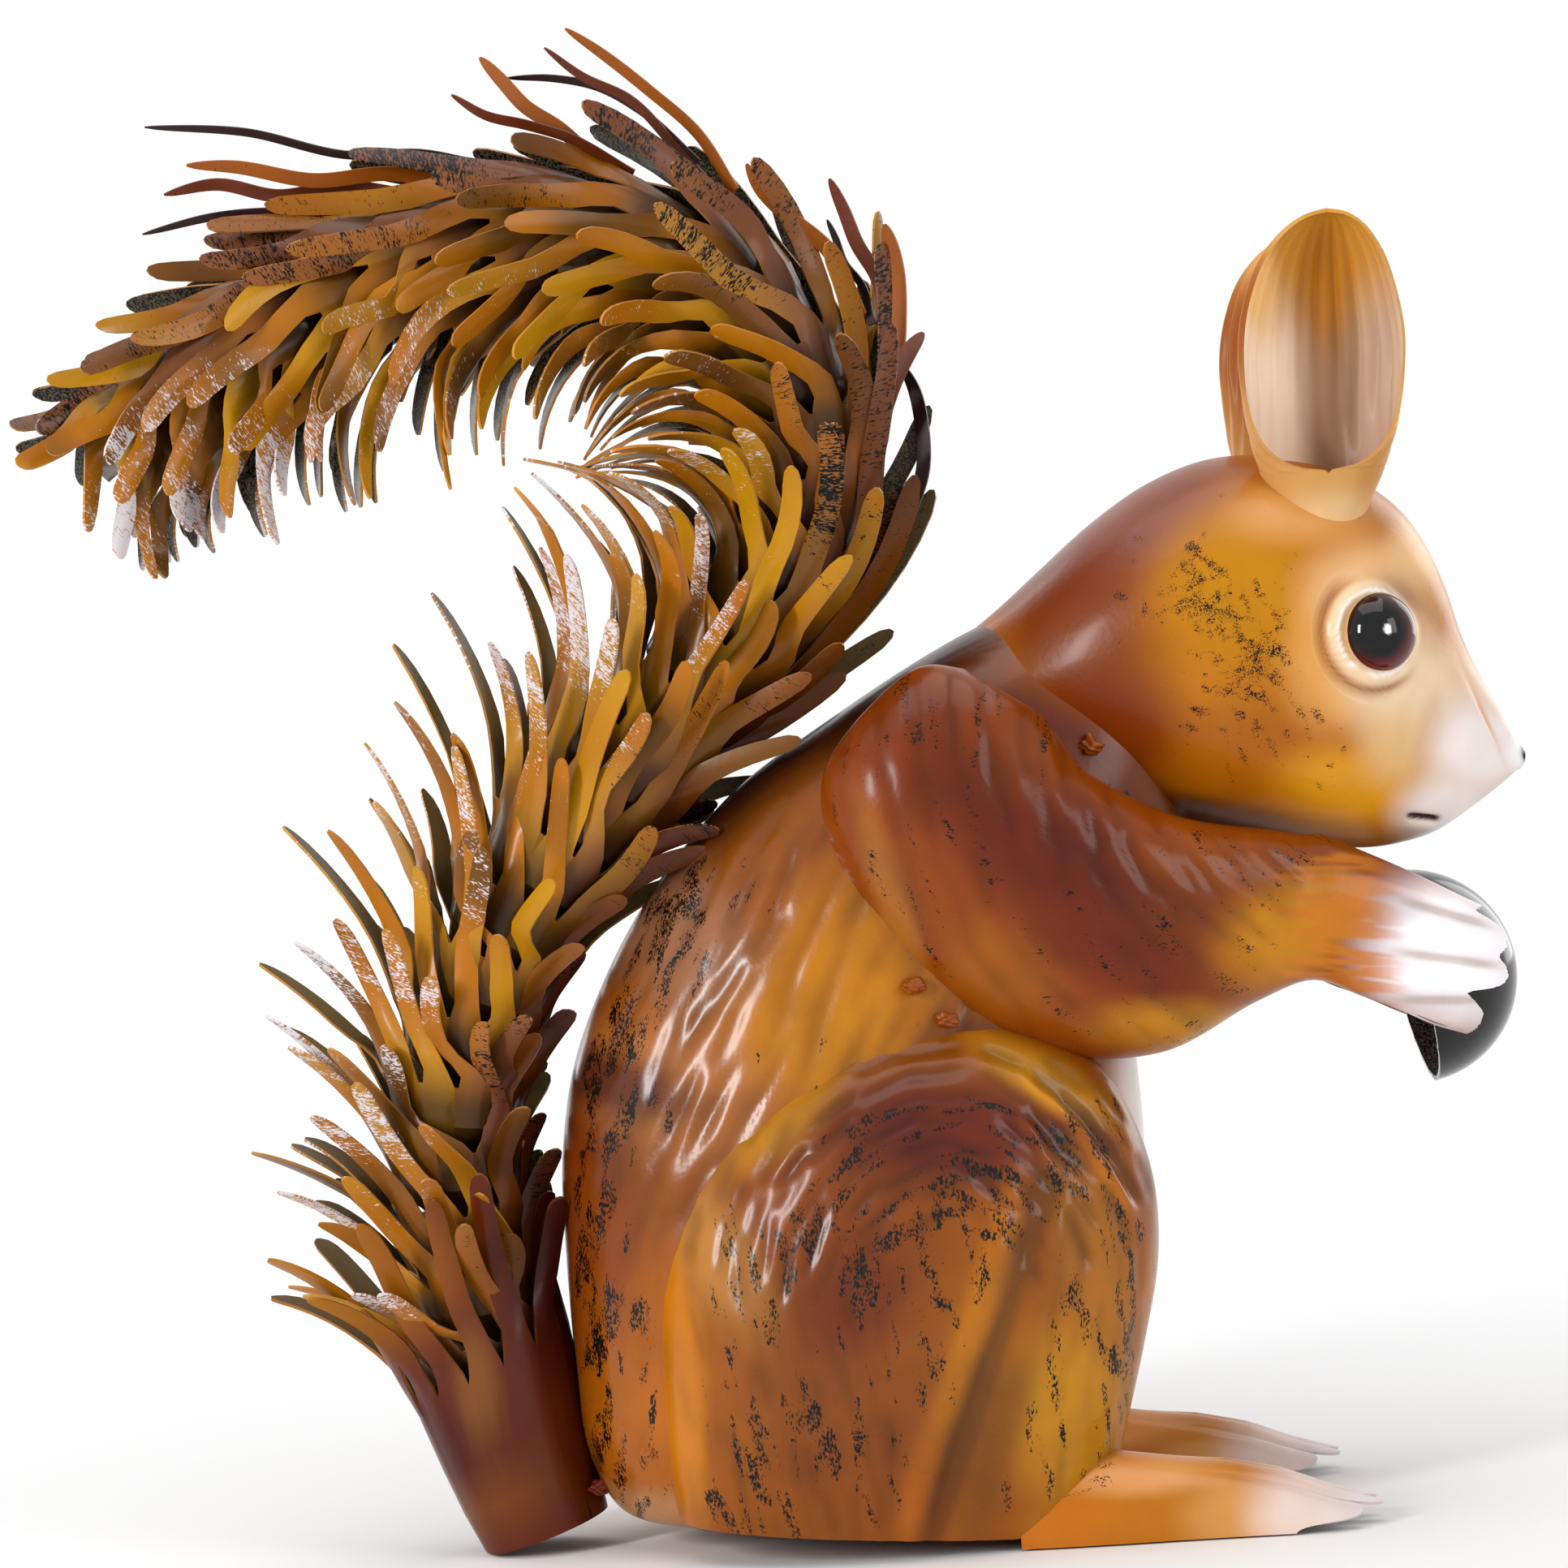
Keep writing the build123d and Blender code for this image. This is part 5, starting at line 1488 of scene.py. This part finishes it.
print("rows of a free finger:", len(free_shares))

# %% Faces turned away from the rod
def face_outwards(piece, inner):
    """Turns a sheet's faces so that they point away from the nearest of its inner points."""
    centres = np.array([face.center for face in piece.data.polygons]) * 1000
    normals = np.array([face.normal for face in piece.data.polygons])
    if np.sum(normals * (centres - inner(centres))) < 0:
        piece.data.flip_normals()
    return piece


def nearest_on_rod(points):
    steps = np.arange(0, rod_length, 4.0)
    middle, heading = rod_at(steps)
    line = np.stack([middle[:, 0], np.zeros(len(steps)), middle[:, 1]], 1)
    gaps = ((points[:, None, :] - line[None, :, :]) ** 2).sum(2)
    return line[np.argmin(gaps, 1)]


print("rolling helpers ready")

# %% [markdown]
# The fringe's finish has three parts, as the real sheets have: a satin front in ochre to red-brown, a black
# or grainy grey back, and the cut edge, which is painted lighter as a thin highlight line. Each gets its own
# material when the sheet gets its thickness.

# %% Fringe finishes
brush_run = {"light": (216, 208, 212), "speck_scale": 2000, "stretch": (0.45, 1.5, 1), "place_layer": "strip"}
fringe_front = painted_finish("fringe_front", 0.34, 0.15, cloud=0.1, peel=0.1, **brush_run)
fringe_back = painted_finish("fringe_back", 0.42, 0.05, colour_layer="paint_back", grain=(96, 88, 74))
fringe_edge_highlight = painted_finish("fringe_edge_highlight", 0.4, 0.1, colour_layer="paint_edge_highlight", **brush_run)
print("fringe finishes:", fringe_front.name, fringe_back.name, fringe_edge_highlight.name)

# %% Tones along the fringe
collar_rows = [
    (0.060, 0.87, 1.00, 0.68, 0.460), (0.200, 1.05, 1.20, 0.74, 0.530), (0.320, 1.30, 1.38, 0.82, 0.660),
    (0.440, 1.40, 1.42, 0.88, 0.760), (0.530, 1.20, 1.17, 0.88, 0.800), (0.640, 1.20, 1.10, 0.85, 0.800),
    (0.740, 1.30, 1.10, 0.83, 0.770), (0.840, 1.15, 1.05, 0.80, 0.680), (0.930, 0.79, 0.72, 0.62, 0.520),
    (1.000, 0.34, 0.43, 0.44, 0.420),
]
ochre, yellow_ochre, umber = (176, 110, 34), (192, 140, 44), (84, 64, 30)
mauve_brown, dark_brown = (134, 88, 66), (74, 38, 22)


def in_fringe_sheet(piece, sheet, offset=-1):
    """Gives a sheet of the fringe its three finishes and its thickness."""
    for finish in (fringe_front, fringe_back, fringe_edge_highlight):
        piece.data.materials.append(finish)
    thicken(piece, sheet, offset=offset, back=1, rim=2)


def paint_fringe(piece, share_along_rod, start, length, seed):
    """Front, back and edge colours and brush masks of one collar, from each point's place on the tail."""
    points = points_of(piece)
    own = np.random.default_rng(seed)
    steps = np.arange(0, rod_length + 60, 2.0)
    middle, heading = rod_at(steps)
    gaps = (points[:, 0, None] - middle[None, :, 0]) ** 2 + (points[:, 2, None] - middle[None, :, 1]) ** 2
    near = np.argmin(gaps, 1)
    now = heading[near]
    out = -np.sin(now) * (points[:, 0] - middle[near, 0]) + np.cos(now) * (points[:, 2] - middle[near, 1])
    inner = out / (np.hypot(out, points[:, 1]) + 1e-6)
    share = np.clip((steps[near] - start) / length, 0, 1.2)
    finger = np.round(kept_mask(piece, "finger")).astype(int)
    tone, pale = own.uniform(-1, 1, (2, 20))[:, finger]
    tone = tone + 0.5 * np.sin(5 * share + 6 * pale)
    high = smooth_step(share_along_rod, 0.36, 0.55)
    low = 1 - smooth_step(share_along_rod, 0.0, 0.16)
    colours = np.tile(lacquer_mix(*ochre), (len(points), 1))
    colours = lay_on(colours, yellow_ochre, 0.85 * smooth_step(tone, 0.0, 0.9))
    colours = lay_on(colours, umber, 0.8 * smooth_step(-tone, 0.1, 0.9))
    under = 0.25 + 0.75 * smooth_step(-inner, -0.2, 0.7)
    colours = lay_on(colours, mauve_brown, under * smooth_step(pale, -0.3, 0.5) * 0.9)
    colours = lay_on(colours, dark_brown, 0.8 * smooth_step(-inner, 0.2, 0.9) * (1 - 0.55 * high))
    colours = lay_on(colours, dark_brown, 0.6 * low * smooth_step(-inner, -0.6, 0.3))
    # painted shade at the roots of the fingers, where the joined band sits deep among the collars
    colours = lay_on(colours, (34, 22, 12), 0.8 * (1 - smooth_step(share, 0.05, 0.42)))
    keep_colour(piece, "paint", colours)
    # the cut edge is painted lighter, a painted highlight along it
    keep_colour(piece, "paint_edge_highlight", colours * 0.6 + lacquer_mix(206, 150, 90) * 0.4)
    silver = lacquer_mix(176, 156, 118) * (1 - smooth_step(share, 0.1, 0.4))[:, None]
    silver = silver + lacquer_mix(112, 88, 50) * smooth_step(share, 0.1, 0.4)[:, None]
    keep_colour(piece, "paint_back", silver * (1 - high) + lacquer_mix(16, 14, 16) * high)
    tips = smooth_step(share, 0.35 - 0.15 * high, 0.8 - 0.15 * high)
    curl_end = smooth_step(share_along_rod, 0.74, 0.9)
    whiter = smooth_step(inner, -0.35 - 0.5 * curl_end, 0.4) * (0.8 - 0.28 * high + 0.45 * curl_end)
    keep_mask(piece, "white_brush", np.clip(tips * whiter * (0.70 + 0.30 * pale), 0, 0.88))
    keep_mask(piece, "brush", np.clip(tips * (1 - whiter) * (0.52 + 0.28 * pale), 0, 0.74))


print("fringe tones ready")

# %% [markdown]
# Thirty collars sit on the rod at even steps. Their fingers are longest and reach farthest near the rod's
# middle and get short towards its tip, so one table along the rod gives each collar its length and reaches.

# %% Collars
first_collar, collar_step, collar_depth, collar_hub, collar_rim = 25.0, 12.4, 8.0, 2.6, 12.2
length_unit, reach_unit, finger_width, collar_sheet = 30, 34, 5.6, 0.55
collar_table = np.array(collar_rows)
for number in range(30):
    start = first_collar + number * collar_step
    here = start / rod_length
    length, free, side, body = (np.interp(here, collar_table[:, 0], collar_table[:, k]) for k in (1, 2, 3, 4))
    long = length * length_unit
    tips = (free * reach_unit, side * reach_unit, body * reach_unit)
    cup = (collar_depth, collar_hub, collar_rim, 0.0)
    wild = 1.0 - 0.45 * float(smooth_step(here, 0.85, 1.0))
    bow = 1.45 - 0.2 * float(smooth_step(here, 0.4, 0.6))
    collar = copy_of(comb, f"fringe_collar_{number + 1:02d}")
    rolled_comb(collar, comb_fingers, comb_rows, start, cup, long, tips, finger_width, 0.37 * number,
                100 + number, bow, wild, web=0.22)
    face_outwards(collar, nearest_on_rod)
    paint_fringe(collar, here, start + collar_depth, long, 200 + number)
    in_fringe_sheet(collar, collar_sheet)
    smooth_within(collar)
    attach(collar, "root")
    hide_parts(f"tail_fringe_{number + 1:02d}")
print("collars: 30, faces in the last:", len(collar.data.polygons))

# %% [markdown]
# A few long, thin strands fly away from the curl. Each is a narrow strip of the same sheet, laid along its
# own line in the side view from under the collars to its tip, with its flat side to the viewer.

# %% Flyaway strands
strand_lines = [
    ([(-1.1, 263.9), (-7.5, 275.4), (-16.5, 284.3), (-25.3, 292.0), (-32.1, 297.2)], 2.0, -5),
    ([(-1.4, 259.6), (-11.0, 271.8), (-20.6, 283.5), (-29.9, 288.9), (-36.7, 294.9)], 1.7, 2),
    ([(-7.9, 270.0), (-18.4, 281.1), (-26.8, 286.7), (-35.5, 289.2), (-44.7, 290.1)], 1.4, 6),
    ([(-30.1, 273.9), (-34.6, 278.5), (-41.5, 283.8), (-45.5, 288.9), (-49.6, 294.0)], 2.6, 3),
    ([(-20.8, 268.5), (-33.1, 276.2), (-41.0, 278.9), (-48.9, 281.1), (-55.0, 285.2)], 1.8, -8),
    ([(-49.5, 272.0), (-62.1, 275.5), (-76.4, 276.2), (-96.9, 282.3), (-116.8, 284.8)], 1.5, 4),
    ([(-56.1, 269.2), (-68.7, 271.6), (-83.2, 271.0), (-99.0, 274.5), (-107.8, 275.2)], 2.6, -6),
    ([(-65.8, 267.4), (-78.4, 270.2), (-91.3, 269.5), (-103.9, 272.9), (-114.4, 271.8)], 2.4, 8),
    ([(-62.8, 263.7), (-75.7, 263.6), (-86.8, 265.3), (-102.8, 265.4), (-117.7, 262.7)], 1.5, -3),
    ([(22.0, 237.6), (16.5, 250.8), (8.2, 258.5), (3.7, 263.6), (1.6, 268.1)], 2.8, -7),
    ([(26.5, 232.5), (26.0, 244.5), (22.2, 252.0), (20.2, 258.2), (17.7, 264.8)], 2.6, -2),
    ([(24.3, 235.8), (22.8, 243.9), (19.6, 248.9), (18.3, 253.8), (16.9, 257.8)], 1.4, 6),
    ([(27.6, 224.4), (29.1, 235.5), (29.4, 245.1), (28.7, 250.7), (27.8, 254.8)], 3.6, -5),
    ([(22.6, 210.3), (25.6, 219.7), (28.5, 225.9), (31.1, 229.7), (33.9, 232.8)], 3.6, -8),
    ([(28.6, 197.0), (32.5, 207.2), (32.8, 216.0), (31.9, 222.5), (29.7, 228.2)], 2.6, 5),
]
strand_sheet = 0.5
strand_tones = ((150, 86, 44), (104, 58, 44), (60, 48, 48))
strands = []
for number, (line, width, y_tip) in enumerate(strand_lines):
    deselect_all()
    bpy.ops.mesh.primitive_grid_add(x_subdivisions=2, y_subdivisions=36, size=2)
    strand = bpy.context.object
    strand.name = f"strand_{number + 1:02d}"
    flat = points_of(strand) / 1000
    part = (flat[:, 1] + 1) / 2
    here = smooth_rows(line, part)
    ahead = smooth_rows(line, part + 0.01) - smooth_rows(line, part - 0.01)
    ahead = ahead / np.linalg.norm(ahead, axis=1)[:, None]
    half = width / 2 * np.sqrt(np.clip(1 - np.clip((part - 0.55) / 0.45, 0, 1) ** 3, 0.02, 1))
    x = here[:, 0] - ahead[:, 1] * flat[:, 0] * half
    z = here[:, 1] + ahead[:, 0] * flat[:, 0] * half
    y = y_tip * part + 0.5 * half * flat[:, 0]
    put_points(strand, np.stack([x, y, z], 1))
    tone = lacquer_mix(*strand_tones[number % len(strand_tones)])
    keep_colour(strand, "paint", np.tile(tone, (len(x), 1)))
    keep_colour(strand, "paint_back", np.tile(lacquer_mix(34, 30, 34), (len(x), 1)))
    # the cut edge is painted lighter, a painted highlight along it
    keep_colour(strand, "paint_edge_highlight", np.tile(tone * 1.3, (len(x), 1)))
    strip = np.stack([flat[:, 0] * half + strip_step * number, part * 40, 0 * part], 1)
    keep_vector(strand, "strip", strip / 1000)
    keep_mask(strand, "brush", 0.42 * smooth_step(part, 0.5, 0.9))
    if sum(face.normal.y for face in strand.data.polygons) > 0:
        strand.data.flip_normals()
    in_fringe_sheet(strand, strand_sheet, offset=0)
    strands.append(strand)
flyaways = join_all(strands, "fringe_strands")
smooth_within(flyaways)
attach(flyaways, "root")
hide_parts("tail_fringe_16")
print("strands:", len(strand_lines), "faces:", len(flyaways.data.polygons))

# %% [markdown]
# The foot of the tail is the same comb again, but its joined part is a tall cone that stands on the ground.

# %% Base sleeve
sleeve_fingers, sleeve_rows, sleeve_joined = 14, 17, 5
sleeve_comb = flat_comb("flat_sleeve_comb", sleeve_fingers, sleeve_rows, sleeve_joined)
sleeve = copy_of(sleeve_comb, "base_sleeve")
sleeve_cup, sleeve_tips = (30.0, 12.9, 16.4, 4.0), (42, 26, 17)
sleeve_finger_length, sleeve_sheet = 40.0, 0.8
rolled_comb(sleeve, sleeve_fingers, sleeve_rows, 0.0, sleeve_cup, sleeve_finger_length, sleeve_tips,
            finger_width, 0.5, 31, bow=1.5, wild=0.8, lean=8.0)
rest_on_ground(sleeve)
face_outwards(sleeve, nearest_on_rod)
points = points_of(sleeve)
sleeve_dabs = [
    (-96, 62, 26, 32, 40, (176, 116, 35), 0.85), (-80, 60, 22, 22, 0, (140, 85, 35), 0.7),
    (-70, 8, 30, 8, 15, (120, 73, 44), 0.7), (-50, 56, 16, 30, 0, (66, 35, 19), 0.85),
    (-76, 22, 14, 16, 0, (76, 40, 19), 0.7), (-66, 34, 6, 18, 0, (140, 94, 54), 0.6),
]
keep_colour(sleeve, "paint", spray(points, (96, 52, 25), sleeve_dabs))
# the cut edge is painted lighter, a painted highlight along it
keep_colour(sleeve, "paint_edge_highlight", spray(points, (140, 92, 58), sleeve_dabs))
keep_colour(sleeve, "paint_back", np.tile(lacquer_mix(104, 84, 60), (len(points), 1)))
sleeve_marks = [(x, z, 20, 6, 2, 0.5) for x, z in zip(dice.uniform(-74, -44, 40), dice.uniform(1, 9, 40))]
keep_mask(sleeve, "brush", np.clip(strokes_at(points, sleeve_marks), 0, 0.55))
in_fringe_sheet(sleeve, sleeve_sheet)
rest_on_ground(sleeve)
smooth_within(sleeve)
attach(sleeve, "root")
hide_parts("tail_base_sleeve")
for spare in (comb, sleeve_comb):
    bpy.data.objects.remove(spare)
print("sleeve box:", points_of(sleeve).min(0).round(1), points_of(sleeve).max(0).round(1))

# %% [markdown]
# Weld nuggets are small frozen drips under the lacquer. Each starts as a ball at the middle of its solid and
# is pushed into lumps, and the one at the neck is drawn out into a point.

# %% Weld nuggets
nugget_lacquer = painted_finish("nugget_lacquer", 0.3, 0.2, cloud=0.25)
nugget_radius, nuggets_apart, neck_x = 2.0, 5.5, 45


def weld_nuggets(name, node, tone):
    """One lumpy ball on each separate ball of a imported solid, joined into one piece."""
    solid = points_of(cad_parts[node])
    groups = []
    for point in solid:
        for group in groups:
            if np.linalg.norm(np.mean(group, 0) - point) < nuggets_apart:
                group.append(point)
                break
        else:
            groups.append([point])
    lumps = []
    for number, group in enumerate(groups):
        middle = (np.min(group, 0) + np.max(group, 0)) / 2
        deselect_all()
        bpy.ops.mesh.primitive_ico_sphere_add(
            subdivisions=5, radius=nugget_radius / 1000, location=middle / 1000
        )
        lump = bpy.context.object
        bpy.ops.object.transform_apply(location=True, rotation=True, scale=True)
        points = points_of(lump)
        unit = (points - middle) / nugget_radius
        wobble = np.sin(unit @ np.array([2.1, 3.3, 1.7]) + number)
        wobble = wobble + np.sin(unit @ np.array([-3.1, 1.9, 4.3]) + 2 * number)
        wobble = wobble + 0.6 * np.sin(unit @ np.array([5.2, -4.4, 6.1]) + 3 * number)
        size = 1 + 0.13 * wobble
        if middle[0] > neck_x:
            size = size + 0.9 * np.exp(-((unit[:, 0] + 0.1) ** 2 + (unit[:, 2] - 0.95) ** 2) / 0.05)
        points = middle + unit * (nugget_radius * size)[:, None] * np.array([1.1, 0.9, 0.75])
        put_points(lump, points)
        keep_colour(lump, "paint", np.tile(lacquer_mix(*tone), (len(points), 1)))
        lump.data.materials.append(nugget_lacquer)
        lumps.append(lump)
    piece = join_all(lumps, name)
    piece.data.shade_smooth()
    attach(piece, "root")
    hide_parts(node)
    print(name, "nuggets:", len(lumps))


weld_nuggets("weld_nuggets_right", "arm_weld_beads_right", (142, 76, 28))
weld_nuggets("weld_nuggets_left", "arm_weld_beads_left", (142, 76, 28))
weld_nuggets("weld_nugget_tail", "tail_weld_bead", (104, 52, 28))

# %% [markdown]
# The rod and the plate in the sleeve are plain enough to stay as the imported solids. They get brushed-over
# grey and white paint and dark red-brown lacquer on their own coordinates.

# %% Rod and plate
def plain_paint(name, tone, other, rough, scale):
    """Two tones of brushed paint that break up on the object's own coordinates."""
    finish, tree, shader = new_finish(name, {})
    where = add_node(tree, "ShaderNodeTexCoord")
    patches = add_node(tree, "ShaderNodeTexNoise", {"Scale": scale, "Detail": 5})
    ramp = add_node(tree, "ShaderNodeMapRange", {"From Min": 0.42, "From Max": 0.58})
    tones = {"A": (*lacquer_mix(*tone), 1), "B": (*lacquer_mix(*other), 1)}
    over = add_node(tree, "ShaderNodeMix", tones, data_type="RGBA")
    gloss = add_node(tree, "ShaderNodeMapRange", {"To Min": rough - 0.08, "To Max": rough + 0.1})
    skin = add_node(tree, "ShaderNodeGroup", {"Depth": 0.2}, node_tree=orange_peel)
    link(
        tree, (where, "Object", patches, "Vector"), (patches, "Fac", ramp, "Value"),
        (ramp, "Result", over, "Factor"), (over, "Result", shader, "Base Color"),
        (patches, "Fac", gloss, "Value"), (gloss, "Result", shader, "Roughness"),
        (skin, "Normal", shader, "Normal"),
    )
    return finish


rod_paint = plain_paint("rod_paint", (206, 200, 196), (128, 112, 96), 0.45, 220)
plate_paint = plain_paint("plate_paint", (96, 58, 40), (70, 40, 30), 0.5, 160)
for node, finish in (("tail_rod", rod_paint), ("tail_base_plate", plate_paint)):
    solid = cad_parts[node]
    solid.data.materials.clear()
    solid.data.materials.append(finish)
    print(node, "painted")
